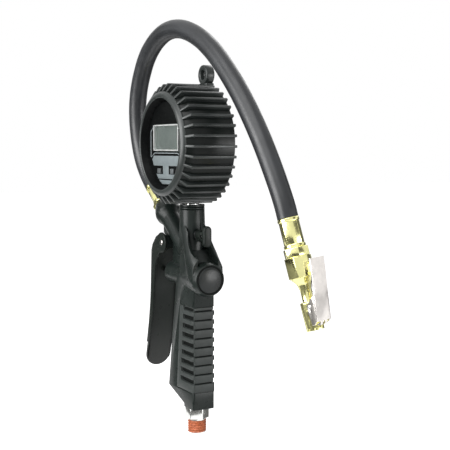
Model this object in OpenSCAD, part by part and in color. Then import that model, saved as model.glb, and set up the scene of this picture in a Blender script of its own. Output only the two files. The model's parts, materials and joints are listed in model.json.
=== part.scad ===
// Hand-held tyre inflator with a digital gauge, a short hose and a clip-on chuck.
// Millimetres. +Z is up the neck, +X is the palm side, -X is the lever side, -Y is the gauge's face.
// The origin is on the inlet thread's axis, at the thread's lower end.

/* [Air inlet] */
// Outside diameter of the male inlet thread, over its sealant
thread_d = 13.7; // [12.6:0.1:15]
// Length of the male inlet thread
thread_len = 8.6; // [7:0.1:12]
// Thickness of the sealant on the thread
sealant_t = 0.5; // [0.3:0.1:0.8]
// Length of the plain collar between the thread and the hexagon
collar_len = 2.4; // [1:0.1:4]
// Width across the flats of the inlet hexagon
hex_af = 15; // [13.8:0.1:16]
// Height of the inlet hexagon
hex_h = 8; // [6:0.1:10]
// Diameter of the air passages
air_d = 6; // [4:0.1:6.4]

/* [Grip] */
// Height of the valve's axis above the bottom of the grip
valve_rise = 94; // [90:0.5:104]
// Distance of the neck's axis in front of the inlet's axis
neck_offset = 7; // [5.5:0.25:8]
// Width of the grip across the two sides
grip_w = 17; // [16.4:0.1:18]
// Distance from the inlet's axis to the back face of the grip
grip_back = 11; // [10:0.1:12.5]
// Distance from the inlet's axis to the front of the grip, at its foot
grip_front = 31; // [29:0.5:34]
// Radius of the grip's front corners
grip_round = 3; // [2.5:0.1:6]
// Height of the ribbed rubber cover
cover_h = 61; // [52:0.5:63]
// Thickness of the cover on the sides
cover_side_t = 2; // [1.8:0.1:2.6]
// Thickness of the cover on the back
cover_back_t = 3; // [2:0.1:3.5]
// Number of ribs on the cover
cover_ribs = 9; // [6:1:11]
// Depth of the grooves between the ribs
groove_depth = 1.6; // [0.8:0.1:1.8]
// How far the cover stands proud of the grip
cover_proud = 0.4; // [0:0.1:0.8]

/* [Valve] */
// Outside diameter of the valve housing
housing_d = 17; // [16:0.1:19]
// Distance from the inlet's axis to the front end of the valve housing
housing_front = 38; // [36:0.5:40]
// Diameter of the round boss behind the valve
boss_d = 24.4; // [23:0.1:26]
// Distance from the inlet's axis to the face of the boss
boss_face = 20.6; // [20:0.1:22]
// Diameter of the valve cap
cap_d = 18; // [17.2:0.1:18.4]
// Diameter of the valve bore
valve_bore_d = 12; // [11:0.1:12.6]
// Diameter of the valve stem
stem_d = 4; // [3:0.1:4.6]
// Travel of the valve stem
stem_travel = 4.2; // [3:0.1:4.6]

/* [Neck and branch] */
// Diameter of the neck
neck_d = 18; // [17:0.1:20]
// Height of the neck's top above the valve's axis
neck_rise = 51; // [49:0.5:54]
// Height above the valve's axis where the branch's axis meets the neck's axis
branch_rise = 14; // [12:0.5:15]
// Diameter of the branch at its outer end
branch_d = 16; // [15:0.1:17]
// Diameter of the knuckle on the end of the branch
knuckle_d = 20; // [18:0.1:21]
// Length of the branch from the neck's axis to the end of the knuckle
branch_len = 58; // [57:0.5:61]

/* [Lever] */
// Width of the lever over its two flanges
lever_w = 22; // [21.4:0.1:24]
// Thickness of the lever's wall
lever_t = 2; // [1.5:0.1:2.1]
// Height of the lever's pin above the valve's axis
pivot_rise = 22; // [21:0.25:23]
// Distance of the lever's pin in front of the inlet's axis
pivot_front = 36.6; // [36:0.1:37.4]
// Diameter of the lever's pin
pin_d = 4; // [3:0.1:4.6]
// Length of the lever from its pin down to its tip
lever_len = 99; // [92:0.5:101]
// Width of the lever's rounded end
tip_w = 20.4; // [18:0.1:21]

/* [Deflate button] */
// Width of the thumb button
button_w = 6.2; // [5:0.1:7]
// Height of the thumb button
button_h = 15; // [13:0.1:17]
// Distance from the inlet's axis to the face of the thumb button
button_face = 17.5; // [17:0.1:19.5]
// Travel of the thumb button
button_travel = 3; // [2:0.1:3]

/* [Gauge] */
// Diameter of the rubber boot over its ribs
boot_d = 84.6; // [82:0.1:90]
// Distance from the neck's axis to the boot's front lip
boot_front = 26.1; // [25.5:0.1:28]
// Distance from the neck's axis to the boot's back
boot_back = 15; // [14.5:0.1:18]
// Number of ribs round the boot
boot_ribs = 34; // [24:1:36]
// Width of a rib's crest
rib_w = 1.9; // [1.4:0.1:3]
// Height of the ribs
rib_h = 2.7; // [1.5:0.1:3]
// Thickness of the boot under the ribs
boot_t = 3; // [2:0.1:3.4]
// Diameter of the visible dial
dial_d = 59; // [56:0.5:60]
// Width of the display's frame
display_w = 40; // [34:0.5:42]
// Height of the display's frame
display_h = 18.4; // [16:0.1:20]
// Outside diameter of the hanging loop
loop_d = 14; // [12.5:0.1:16]
// Diameter of the hole in the hanging loop
loop_hole_d = 7; // [6:0.1:8]
// Thickness of the hanging loop
loop_t = 6.4; // [5:0.1:6.6]
// Visible gap between the neck and the boot
stem_gap = 1.2; // [0.8:0.1:3]

/* [Hose and chuck] */
// Outside diameter of the hose
hose_d = 13.5; // [12:0.1:14.5]
// Length of a crimped ferrule
ferrule_len = 19.2; // [17:0.1:20]
// Diameter of a ferrule's crimped waist
ferrule_d = 11.9; // [11:0.1:13]
// Diameter of the raised rims at a ferrule's ends
rim_d = 14; // [13.6:0.1:15]
// Width across the flats of the chuck's nipple
nipple_af = 14.6; // [13:0.1:15.5]
// Length of the chuck nipple's hexagon
nipple_len = 5.8; // [4:0.1:7]
// Width across the flats of the chuck's body
chuck_af = 15.2; // [14.4:0.1:16.5]
// Length of the chuck's hexagon
chuck_hex_len = 13; // [12:0.1:15]
// Diameter of the chuck's neck
chuck_neck_d = 7.4; // [6.6:0.1:9]
// Diameter of the chuck's head
chuck_head_d = 11.4; // [11:0.1:12.4]
// Diameter of the chuck's mouth
mouth_d = 8.4; // [8:0.1:8.8]
// Depth of the chuck's mouth below its rubber seal
mouth_depth = 8.3; // [7.8:0.1:9.5]
// Width of the clip lever's plate
clip_w = 13.4; // [10:0.1:13.6]
// Thickness of the clip lever's plate
clip_t = 1; // [0.8:0.1:1.3]

/* [Hidden] */

// Clearances
fit_gap = 0.05;   // between fixed pieces that slide together
run_gap = 0.05;   // between a shaft and its bearing
side_gap = 0.4;   // between moving plates
seat_gap = 0.3;   // between a moving piece and what it rests near
over = 1;         // how far a cut runs past the face that it opens

// Colours
c_body = [0.13, 0.14, 0.14];
c_rubber = [0.18, 0.19, 0.19];
c_black = [0.05, 0.05, 0.05];
c_steel = [0.62, 0.63, 0.64];
c_bright = [0.86, 0.84, 0.82];
c_brass = [0.85, 0.72, 0.35];
c_sealant = [0.88, 0.38, 0.20];
c_board = [0.10, 0.40, 0.20];

// Main heights and axes
grip_z0 = thread_len + collar_len + hex_h;
valve_z = grip_z0 + valve_rise;
neck_x = -neck_offset;
neck_r = neck_d / 2;
neck_top = valve_z + neck_rise;   // the stem's seat, inside the neck's rim
neck_rim_h = 0.7;
boot_r = boot_d / 2;
gauge_z = neck_top + stem_gap + boot_r;
air_r = air_d / 2;

// Grip
cover_z0 = grip_z0 + 12.5;
cover_z1 = cover_z0 + cover_h;
grip_lean = 9.5;               // slope of the grip's front edge, degrees
grip_step = grip_z0 + 2.4;    // height of the small step at the grip's foot
foot_x = -4;                  // front of the grip's foot
cover_low_x = -14.8;          // front edge of the cover at its lower end
cover_high_x = -9.4;          // front edge of the cover at its upper end
cover_margin = 5.6;           // plain margin in front of the grooves
rib_pitch = (cover_h - 2.6) / cover_ribs;
side_groove = 3.4;            // height of a groove on the sides
side_groove_z = -0.3;
cover_line = 0.6;             // width of the open line in front of the cover and below it
back_groove = 1;              // height of a groove on the back

// Inlet
spigot_r = 5.4;
spigot_len = 11;
seal_wire = 0.9;              // radius of an O-ring's section
filter_r = 4;
filter_t = 1.5;
filter_z = 3;
thread_core_r = thread_d / 2 - sealant_t;

// Valve
housing_r = housing_d / 2;
housing_nose = 2.4;           // the valve's housing is drawn in over this length
boss_r = boss_d / 2;
boss_len = 3;                 // the boss's straight part; in front of it the housing swells out to it
swell_x = -12;                // where the housing starts to swell
bore_r = valve_bore_d / 2;
stem_r = stem_d / 2;
seat_x0 = -1;
seat_t = 3;
poppet_t = 2.5;
poppet_r = bore_r - 1.2;
poppet_tail_r = 1.6;
poppet_tail_len = 2;
valve_spring_r = 3.3;         // outside of the valve spring's coils
spring_wire = 0.7;
cap_r = cap_d / 2;
cap_head_t = 3.8;
cap_proud = 0.7;
cap_ring_w = 1.3;             // width of the groove round the cap
boss_taper = 1.2;
boss_taper_len = 3.6;
cap_plug_r = bore_r + 1.5;
cap_plug_len = 3;
spring_pocket = 2;
bush_r = 5;
bush_len = 6.5;
bush_flange_t = 1.5;
seal_seat_x = -housing_front + bush_len;
poppet_x = seat_x0 + seat_t + seat_gap;

// Lever
pivot_x = -pivot_front;
pivot_z = valve_z + pivot_rise;
ear_r = 7.5;
pin_r = pin_d / 2;
lug_r = 5.5;
lug_half = lever_w / 2 - lever_t - side_gap;
tip_r = tip_w / 2;
// The lever's outer face from the top down, and its flanges' edge from the bottom up, from the pin
lever_out = [[-15.1, -2.2], [-17.2, -7], [-17.8, -18], [-18.9, -36], [-20, -47], [-22.9, -62.8],
             [-25.9, -75], [-29.3, -87], [-33, -102]];
flange_edge = [[-30.6, -102], [-26.8, -86], [-20.4, -70], [-15.3, -52], [-12.8, -31], [-11.2, -19],
               [-9.2, -13.2], [-3.6, -8.2], [4.6, -5.8]];
web_at_stem = pivot_x + lookup(-pivot_rise, [for (p = lever_out) [p[1], p[0]]]);
stem_tip = web_at_stem + lever_t + seat_gap;

// Deflate valve
deflate_z = valve_z + 30;
shank_r = 4.2;
shank_len = 7;
pad_t = 4.5;
shank_x = button_face - pad_t - shank_len;
bush_face = shank_x - button_travel - seat_gap;
deflate_bush_r = 3.4;
deflate_pin_r = 1.5;
deflate_disc_r = 2.6;
deflate_disc_t = 1.3;
deflate_seat = -2;
deflate_spring_r = 2.9;       // outside of the deflate spring's coils

// Branch: it rises 3 for every 4 forward
branch_tilt = atan2(3, 4);
branch_z = valve_z + branch_rise;
branch_r = branch_d / 2;
knuckle_r = knuckle_d / 2;
gun_hex_len = 2.8;
knuckle_t = 18;               // length of the swelling at the branch's end
branch_bore_r = 4.5;
gun_plug_len = 8;

// Gauge
boot_base_r = boot_r - rib_h;
case_r = boot_base_r - boot_t;
case_back = boot_back - 3;
case_t = 2;
lip_out_r = boot_r - 5.8;
lip_in_r = dial_d / 2 + 2.5;
lip_edge_y = -boot_front + 2.1;
crest_y = -boot_front + 6.3;
crest_back = boot_back - 1.7;  // where the ribs end and the boot slopes in to its back
boot_back_r = boot_base_r - 4;
rib_root_w = rib_w + 1.5;     // width of a rib at its foot
rib_turn = -2.4;              // the boot sits on the case turned by this
gap_front_r = lip_out_r + 0.9; // floor of the gaps between the ribs, behind the lip
dial_y = -boot_front + 5.6;
dial_r = dial_d / 2;
dial_t = 1.5;
loop_y = boot_back - loop_t / 2 - 0.1;
loop_rise = loop_d / 2 - 0.2;
frame_w = 0.9;
frame_t = 0.4;
label_t = 0.2;
// The label's two shapes, in X and Z, as shares of the dial's radius
label_shapes = [
  [[-0.661, -0.281], [0.661, -0.281], [0.759, -0.366], [0.678, -0.519], [0.156, -0.519], [0.156, -0.719],
   [0.515, -0.719], [0.42, -0.831], [-0.42, -0.831], [-0.515, -0.719], [-0.156, -0.719], [-0.156, -0.519],
   [-0.678, -0.519], [-0.759, -0.366]],
  [[-0.386, -0.858], [0.386, -0.858], [0.19, -0.956], [-0.19, -0.956]]
];
hole_margin = 0.6;            // the dial's window is this much larger than the display's frame
window_w = display_w - 2 * frame_w;
window_h = display_h - 2 * frame_w;
display_dz = 4.4;             // display's centre above the gauge's centre
dial_button_x = 10.3;
dial_button_z = -19;
dial_button_w = 5;
dial_button_h = 3.6;
dial_button_travel = 0.6;
dial_button_proud = 0.8;
board_y = dial_y + 6;
board_t = 1.6;
board_r = dial_r;
switch_t = 1.4;
battery_r = 5.25;
battery_len = 44.5;           // size AAA
battery_y = case_back - case_t - battery_r - 0.6;
battery_z = [gauge_z - 6, gauge_z + 6];
contact_t = 1.6;
contact_w = 6;
tray_t = 1.2;
tray_half = battery_len / 2 + contact_t + 1.4;
door_w = 2 * tray_half - 0.5;
door_h = battery_z[1] - battery_z[0] + 2 * battery_r + 3.5;
door_t = 1.2;
door_ear_r = 3;
door_screw_r = 1.1;
door_screw_x = tray_half + door_screw_r + 0.15;
door_rim = 3;                 // the door overlaps its opening by this much at its ends
door_gap = 0.2;               // between the door's plug and its opening
door_z = (battery_z[0] + battery_z[1]) / 2;
case_screw_r = 1.2;
screw_circle = case_r - 7;
screw_angles = [45, 135, 225, 315];
stem_thread_r = 5.4;
stem_thread_len = 11;
stem_flange_r = 5.2;
stem_tube_r = 4.4;
sensor_r = 6;
case_floor_z = gauge_z - sqrt(pow(case_r - case_t, 2) - pow(sensor_r, 2));

// Hose: the points that its centre follows, from the branch's ferrule to the chuck's
HOSE = [
  [-71, 0, 175], [-75, 0, 178], [-81.5, -0.8, 185.5], [-87, -1.8, 195], [-90.5, -2.8, 206.5],
  [-91.8, -3.8, 218.5], [-91.3, -4.7, 230.5], [-89, -5.3, 242], [-84.7, -5.6, 253], [-79, -5.6, 263],
  [-71.3, -5.5, 272.8], [-61.5, -5.2, 280.6], [-49.8, -4.6, 286.6], [-36.8, -3.6, 290], [-23, -2.1, 290],
  [-9.6, -0.7, 286.8], [3.8, 0.7, 281.2], [16.4, 1.8, 273.8], [27.8, 2.8, 265.2], [38.2, 3.7, 255.8],
  [48, 4.6, 246], [57.2, 5.5, 235.6], [65.8, 6.4, 224.6], [73.7, 7.4, 213.4], [80.8, 8.4, 202.2],
  [87.2, 9.5, 190.8], [92.9, 10.7, 179.4], [97.4, 11.9, 168.8], [99.5, 12.9, 161.1]
];
hose_sides = 12;
hose_r = hose_d / 2;
hose_start = HOSE[0];
hose_end = HOSE[len(HOSE) - 1];

// Chuck: its own frame has the hose's end at 0, -Z along it and the clip on the +X side
chuck_run = hose_end - HOSE[len(HOSE) - 2];
chuck_tilt = acos(-chuck_run.z / norm(chuck_run));
chuck_turn = atan2(chuck_run.y, chuck_run.x);
chuck_spin = -10;             // turn of the clip about the chuck's axis
ferrule_r = ferrule_d / 2;
rim_r = rim_d / 2;
tail_r = 3.4;
chuck_spigot_r = 3.5;
chuck_spigot_len = 6;
chuck_z0 = ferrule_len + nipple_len;
cone_z = chuck_z0 + chuck_hex_len;
cone_len = 4;
head_z = cone_z + 2 * cone_len + 7.4;
clip_pivot_z = head_z + 3.6;
mouth_r = mouth_d / 2;
core_r = mouth_r - 0.8;       // seat of the seal and the core pin behind the mouth
core_t = 1.2;
core_pin_r = 0.8;
air_way_r = 1.6;
seal_hole_r = 2;
core_z = head_z + 5.8;
seal_z = core_z + core_t;
seal_t = 3;
head_end = seal_z + seal_t + mouth_depth;
head_r = chuck_head_d / 2;
clip_pin_r = 1.2;
clip_pin_x = mouth_r + clip_pin_r + 0.2;
clip_gap = 0.25;              // between the head's sides and the clip's flanges
clip_flange_half = head_r + clip_gap + clip_t;
clip_spring_r = 1.9;
pocket_r = clip_spring_r + 0.2;
cheek_r = 2.4;
cheek_t = 2.2;
prong_w = 2.2;                // width of each of the jaw's prongs
prong_y = 2.1;
tooth_z = 2.6;                // height of the tooth above the mouth's rim
tooth_room = 0.8;             // room in the head's windows above and below a tooth
serration_w = 1.2;
serration_h = 1.4;
// The outer face of the clip's plate, in X and Z, from the thumb end down
clip_out = [[15.2, -28.2], [13.9, -37], [12.2, -46], [10.6, -56], [8.8, -66.8]];
clip_end = clip_out[len(clip_out) - 1];
// The outline of the clip's two flanges, in X and Z
clip_side = [[10.9, -50.5], [10, -56], [8.1, -66.8], [6.4, -68.4], [4.6, -68.4], [3.3, -60], [3.6, -56],
             [8, -52]];
jaw_x = 7.8;                  // outer face of the jaw above its teeth
tooth_t = 1.2;
tooth_gap = 0.2;              // between a tooth and the mouth's bore
nipple_turn = 22;
hex_turn = -6;

// ---------- helpers ----------

// A straight round bar along X, from x0 to x1 at height z
module bar_x(x0, x1, r, z = 0) {
  translate([x0, 0, z]) rotate([0, 90, 0]) cylinder(r = r, h = x1 - x0, $fn = 64);
}

// A straight round bar along Y, from y0 to y1
module bar_y(y0, y1, r, x = 0, z = 0) {
  translate([x, y0, z]) rotate([-90, 0, 0]) cylinder(r = r, h = y1 - y0, $fn = 64);
}

// A shape drawn in X and Z, as thick as from y0 to y1
module slab(y0, y1) {
  translate([0, y1, 0]) rotate([90, 0, 0]) linear_extrude(y1 - y0) children();
}

// Places children on the branch: their Z runs along its axis from the neck's axis
module on_branch() {
  translate([neck_x, 0, branch_z]) rotate([0, branch_tilt - 90, 0]) children();
}

// Places children in the gauge's frame: origin at its centre, Y to the back
module in_gauge() {
  translate([neck_x, 0, gauge_z]) children();
}

// Places children on the chuck's axis, with the hose's end at 0
module on_chuck() {
  translate(hose_end) rotate([0, -chuck_tilt, chuck_turn]) rotate([0, 0, chuck_spin]) children();
}

// An O-ring round Z
module o_ring(r, wire) {
  rotate_extrude($fn = 64) translate([r, 0]) circle(r = wire, $fn = 24);
}

// A solid of revolution about Y, from points of radius and Y
module turned_y(points) {
  rotate([-90, 0, 0]) rotate_extrude($fn = 128) polygon(points);
}

// A rectangle with two round corners on the side where X is 0
module front_round(length, width, r) {
  translate([r, -width / 2]) square([length - r, width]);
  translate([0, -width / 2 + r]) square([length, width - 2 * r]);
  for (side = [-1, 1]) translate([r, side * (width / 2 - r)]) circle(r = r, $fn = 64);
}

// ---------- gun body ----------

grip_outline = [
  [-grip_front + 0.5, cover_z0 - 1], [foot_x, grip_step], [foot_x, grip_z0], [grip_back, grip_z0],
  [grip_back, valve_z], [-20, valve_z], [-grip_front, cover_z0]
];

// The grip's outer form, with its leaning front edge rounded
module grip_form() {
  intersection() {
    slab(-grip_w / 2, grip_w / 2) polygon(grip_outline);
    translate([-grip_front, 0, cover_z0]) rotate([0, grip_lean, 0]) translate([0, 0, -60])
      linear_extrude(180) front_round(80, grip_w, grip_round);
    translate([grip_back, 0, 0]) rotate([0, 0, 180]) linear_extrude(valve_z + boss_r)
      front_round(60, grip_w, 1.6);
  }
}

// The cover, seated in the grip on three sides and as much prouder than it as said
module cover_form(proud) {
  half = grip_w / 2 + proud;
  intersection() {
    translate([grip_back + proud, 0, 0]) rotate([0, 0, 180]) linear_extrude(valve_z)
      front_round(grip_back + grip_front, 2 * half, 1.6 + proud);
    difference() {
      slab(-grip_w, grip_w) polygon([[cover_low_x, cover_z0], [grip_back + over, cover_z0],
        [grip_back + over, cover_z1], [cover_high_x, cover_z1]]);
      translate([-grip_front, -grip_w / 2 + cover_side_t, cover_z0 - over])
        cube([grip_front + grip_back - cover_back_t, grip_w - 2 * cover_side_t, cover_h + 2 * over]);
    }
  }
}

// The horn that leaves the neck, is cut back to an arc in front and is hollowed to leave two thumb guards
module thumb_guards() {
  horn_top = 36;     // above the valve's axis, where the horn leaves the neck
  horn_lean = 32;    // of its axis from the vertical, degrees
  horn_len = 52;
  horn_grow = 0.11;  // growth of its radius for each mm
  horn_half = 11.8;  // half its width where its sides are flattened
  guard_in = 7.9;    // half the width between the guards
  guard_r = 25;      // of the arc of the guards' front edges
  guard_x = boss_face + 6;
  guard_z = valve_z + horn_top + 2;
  arc = [for (a = [180:10:250]) [guard_x + guard_r * cos(a), guard_z + guard_r * sin(a)]];
  root_x = boss_face - boss_taper_len;
  high = valve_z + neck_rise;
  difference() {
    intersection() {
      union() {
        translate([neck_x, 0, valve_z + horn_top]) rotate([0, 180 - horn_lean, 0])
          cylinder(r1 = neck_r, r2 = neck_r + horn_grow * horn_len, h = horn_len, $fn = 96);
        slab(-neck_r, neck_r) polygon([[neck_x, valve_z], [neck_x, valve_z + horn_top],
          [neck_x + horn_top * tan(horn_lean), valve_z]]);
      }
      slab(-horn_half, horn_half)
        polygon(concat([[neck_x, valve_z], [neck_x, guard_z]], arc,
          [[root_x, valve_z + 9], [root_x, valve_z]]));
    }
    slab(-guard_in, guard_in) polygon([[neck_x, valve_z + 24], [2, valve_z + 19], [15, valve_z + 7],
      [guard_x, valve_z + 7], [guard_x, high], [neck_x, high]]);
  }
}

// The lug that carries the lever's pin, and its web up to the branch
module lever_lug() {
  web_half = 4;
  web_x = pivot_x - 9.7;
  bar_y(-lug_half, lug_half, lug_r, pivot_x, pivot_z);
  slab(-web_half, web_half) polygon([[pivot_x - lug_r + 2.5, pivot_z + 2], [web_x, pivot_z + 6.7],
    [web_x, pivot_z + 14], [neck_x - 4, branch_z + 6], [neck_x - 6, valve_z + 7], [pivot_x + 6, valve_z + 7],
    [pivot_x + lug_r, pivot_z]]);
}

// The branch with its swelling knuckle, from the neck's axis outwards
module branch() {
  grow = knuckle_r - branch_r;
  t0 = branch_len - knuckle_t;
  on_branch() rotate_extrude($fn = 96) polygon([[0, 0], [branch_r - 0.8, 0], [branch_r - 0.2, t0],
    [branch_r + 0.3 * grow, t0 + 3.5], [branch_r + 0.85 * grow, t0 + 6], [knuckle_r, t0 + 9],
    [branch_r + 0.65 * grow, t0 + 12], [branch_r + 0.15 * grow, t0 + 15], [branch_r - 0.9, branch_len],
    [0, branch_len]]);
}

// The round boss behind the valve, drawn in at its face
module valve_boss() {
  boss_x0 = boss_face - boss_taper_len - boss_len;
  bar_x(boss_x0, boss_face - boss_taper_len, boss_r, valve_z);
  translate([swell_x, 0, valve_z]) rotate([0, 90, 0])
    cylinder(r1 = housing_r, r2 = boss_r, h = boss_x0 - swell_x, $fn = 96);
  translate([boss_face - boss_taper_len, 0, valve_z]) rotate([0, 90, 0])
    cylinder(r1 = boss_r, r2 = boss_r - boss_taper, h = boss_taper_len, $fn = 96);
}

module gun_body() color(c_body) difference() {
  union() {
    grip_form();
    translate([neck_x, 0, valve_z]) cylinder(r = neck_r, h = neck_rise + neck_rim_h, $fn = 96);
    bar_x(-housing_front + housing_nose, swell_x, housing_r, valve_z);
    translate([-housing_front, 0, valve_z]) rotate([0, 90, 0])
      cylinder(r1 = housing_r - 0.7 * housing_nose, r2 = housing_r, h = housing_nose, $fn = 64);
    valve_boss();
    branch();
    thumb_guards();
    lever_lug();
  }
  cover_form(0);
  difference() {
    translate([-cover_line, 0, -cover_line]) cover_form(0);
    translate([-grip_front, -grip_w / 2 + 1, cover_z0 - 2 * over])
      cube([grip_front + grip_back - 1, grip_w - 2, cover_h + 4 * over]);
  }
  // Air passage from the inlet, and its side step into the valve's rear chamber
  translate([0, 0, grip_z0 - over]) cylinder(r = spigot_r + fit_gap, h = spigot_len + 2 * seal_wire + over,
    $fn = 64);
  translate([0, 0, grip_z0]) cylinder(r = air_r, h = valve_rise - 14, $fn = 48);
  translate([0, 0, valve_z - 16]) rotate([0, 35, 0]) cylinder(r = air_r - 1, h = 16, $fn = 48);
  // Valve bore, cap seat and the front guide
  bar_x(seal_seat_x + 2 * seal_wire, boss_face - cap_head_t + over / 2, bore_r, valve_z);
  bar_x(boss_face - cap_head_t - cap_plug_len, boss_face, cap_plug_r + fit_gap, valve_z);
  bar_x(boss_face - cap_head_t, boss_face + over, cap_r + cap_ring_w, valve_z);
  bar_x(-housing_front - over, seal_seat_x + 2 * seal_wire + over, bush_r + fit_gap, valve_z);
  // Neck bore and the gauge stem's seat
  translate([neck_x, 0, valve_z]) cylinder(r = air_r, h = neck_rise + over, $fn = 48);
  translate([neck_x, 0, neck_top - stem_thread_len - 2 * seal_wire])
    cylinder(r = stem_thread_r + fit_gap, h = stem_thread_len + 2 * seal_wire + over, $fn = 64);
  // Branch bore and the nipple's seat
  on_branch() cylinder(r = air_r - 0.5, h = branch_len + over, $fn = 48);
  on_branch() translate([0, 0, branch_len - gun_plug_len])
    cylinder(r = branch_bore_r + fit_gap, h = gun_plug_len + over, $fn = 48);
  // Deflate valve's bore, through the neck's back wall
  bar_x(neck_x, bush_face + over, deflate_bush_r + fit_gap, deflate_z);
  // Lever pin's hole
  bar_y(-lever_w, lever_w, pin_r + run_gap / 2, pivot_x, pivot_z);
  // The recess inside the neck's rim and two fine rings round its top
  translate([neck_x, 0, neck_top]) cylinder(r = neck_r - 1.8, h = neck_rim_h + over, $fn = 96);
  for (ring = [1.4, 3]) translate([neck_x, 0, neck_top - ring])
    rotate_extrude($fn = 96) translate([neck_r - 0.25, 0]) square([1, 0.4]);
}

module grip_cover() color(c_rubber) difference() {
  half_w = grip_w / 2 + cover_proud;
  cover_form(cover_proud);
  for (i = [1:cover_ribs]) {
    z = cover_z0 + i * rib_pitch;
    edge_x = cover_low_x + (cover_high_x - cover_low_x) * i * rib_pitch / cover_h + cover_margin;
    for (side = [-1, 1])
      translate([edge_x, side * half_w - (side > 0 ? groove_depth : over), z + side_groove_z])
        cube([grip_back + cover_proud + over - edge_x, groove_depth + over, side_groove]);
    translate([grip_back + cover_proud - groove_depth, -grip_w, z - back_groove / 2])
      cube([groove_depth + over, 2 * grip_w, back_groove]);
  }
}

// ---------- air inlet ----------

module inlet_fitting() color(c_steel) difference() {
  union() {
    cylinder(r = thread_core_r, h = thread_len + collar_len + over, $fn = 64);
    translate([0, 0, thread_len + collar_len]) cylinder(d = hex_af / cos(30), h = hex_h, $fn = 6);
    translate([0, 0, grip_z0 - over]) cylinder(r = spigot_r, h = spigot_len + over, $fn = 64);
  }
  translate([0, 0, -over]) cylinder(r = filter_r + fit_gap, h = filter_z + filter_t + over, $fn = 48);
  cylinder(r = air_r, h = grip_z0 + spigot_len + over, $fn = 48);
}

module thread_sealant() color(c_sealant) difference() {
  cylinder(r = thread_d / 2, h = thread_len, $fn = 64);
  translate([0, 0, -over]) cylinder(r = thread_core_r, h = thread_len + 2 * over, $fn = 64);
}

module inlet_filter() color(c_bright)
  translate([0, 0, filter_z]) cylinder(r = filter_r, h = filter_t, $fn = 48);

module inlet_seal() color(c_black)
  translate([0, 0, grip_z0 + spigot_len + seal_wire]) o_ring(spigot_r - seal_wire, seal_wire);

// ---------- valve ----------

module valve_seat() color(c_brass) difference() {
  bar_x(seat_x0, seat_x0 + seat_t, bore_r - fit_gap / 2, valve_z);
  bar_x(seat_x0 - over, seat_x0 + seat_t + over, stem_r + 1.4, valve_z);
}

module valve_stem() color(c_steel) {
  bar_x(stem_tip + stem_r / 2, poppet_x, stem_r, valve_z);
  bar_x(stem_tip, stem_tip + stem_r / 2, stem_r * 0.75, valve_z);
  bar_x(poppet_x, poppet_x + poppet_t, poppet_r, valve_z);
  bar_x(poppet_x + poppet_t, poppet_x + poppet_t + poppet_tail_len, poppet_tail_r, valve_z);
}

module valve_spring() color(c_bright) difference() {
  bar_x(poppet_x + poppet_t, boss_face - cap_head_t - cap_plug_len + spring_pocket, valve_spring_r, valve_z);
  bar_x(poppet_x, boss_face, valve_spring_r - spring_wire, valve_z);
}

module stem_bush() color(c_brass) difference() {
  union() {
    bar_x(-housing_front, seal_seat_x, bush_r, valve_z);
    bar_x(-housing_front - bush_flange_t, -housing_front, bush_r + 1.6, valve_z);
  }
  bar_x(-housing_front - bush_flange_t - over, seal_seat_x + over, stem_r + run_gap, valve_z);
}

module stem_seal() color(c_black)
  translate([seal_seat_x + seal_wire, 0, valve_z]) rotate([0, 90, 0])
    o_ring(stem_r + run_gap + seal_wire, seal_wire);

module valve_cap() color(c_body) difference() {
  union() {
    bar_x(boss_face - cap_head_t, boss_face, cap_r, valve_z);
    translate([boss_face, 0, valve_z]) rotate([0, 90, 0])
      cylinder(r1 = cap_r, r2 = cap_r - 1.6, h = cap_proud, $fn = 96);
    bar_x(boss_face - cap_head_t - cap_plug_len, boss_face - cap_head_t, cap_plug_r, valve_z);
  }
  bar_x(0, boss_face - cap_head_t - cap_plug_len + spring_pocket, valve_spring_r + 0.1, valve_z);
}

module cap_seal() color(c_black) difference() {
  bar_x(boss_face - cap_head_t, boss_face - 1, cap_r + cap_ring_w, valve_z);
  bar_x(boss_face - cap_head_t - over, boss_face + over, cap_r, valve_z);
}

// ---------- lever ----------

module lever() color(c_body) translate([pivot_x, 0, pivot_z]) difference() {
  intersection() {
    union() {
      slab(-lever_w / 2, lever_w / 2) polygon(concat(lever_out,
        [for (i = [len(lever_out) - 1:-1:0]) lever_out[i] + [lever_t, 0]]));
      for (side = [-1, 1])
        slab(side * lever_w / 2 - (side > 0 ? lever_t : 0), side * lever_w / 2 + (side < 0 ? lever_t : 0)) {
          polygon(concat(lever_out, flange_edge, [[0, 0], [-3, 6.5], [-9, 4]]));
          circle(r = ear_r, $fn = 64);
        }
    }
    // The rounded lower end, seen from the front
    union() {
      translate([-2 * lever_w, -lever_w / 2, -lever_len + tip_r + 10])
        cube([4 * lever_w, lever_w, lever_len + ear_r - tip_r]);
      translate([-2 * lever_w, -tip_r, -lever_len + tip_r]) cube([4 * lever_w, tip_w, lever_len]);
      bar_x(-2 * lever_w, 2 * lever_w, tip_r, -lever_len + tip_r);
    }
  }
  bar_y(-lever_w, lever_w, pin_r + run_gap);
}

module lever_pin() color(c_bright)
  bar_y(-lever_w / 2, lever_w / 2 + 1.6, pin_r, pivot_x, pivot_z);

module pin_clip() color(c_steel) difference() {
  bar_y(lever_w / 2 + side_gap, lever_w / 2 + side_gap + 0.8, pin_r + 1.8, pivot_x, pivot_z);
  bar_y(0, lever_w, pin_r, pivot_x, pivot_z);
}

// ---------- deflate valve ----------

module deflate_button() color(c_body) difference() {
  union() {
    translate([button_face - pad_t, 0, deflate_z]) rotate([0, 90, 0]) linear_extrude(pad_t) {
      square([button_h - button_w, button_w], center = true);
      for (end = [-1, 1]) translate([end * (button_h - button_w) / 2, 0])
        circle(d = button_w, $fn = 48);
    }
    bar_x(shank_x, button_face - pad_t, shank_r, deflate_z);
  }
  bar_x(shank_x - over, button_face - pad_t, shank_r - 0.8, deflate_z);
  bar_x(shank_x, button_face - pad_t + 2.5, deflate_pin_r, deflate_z);
}

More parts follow.
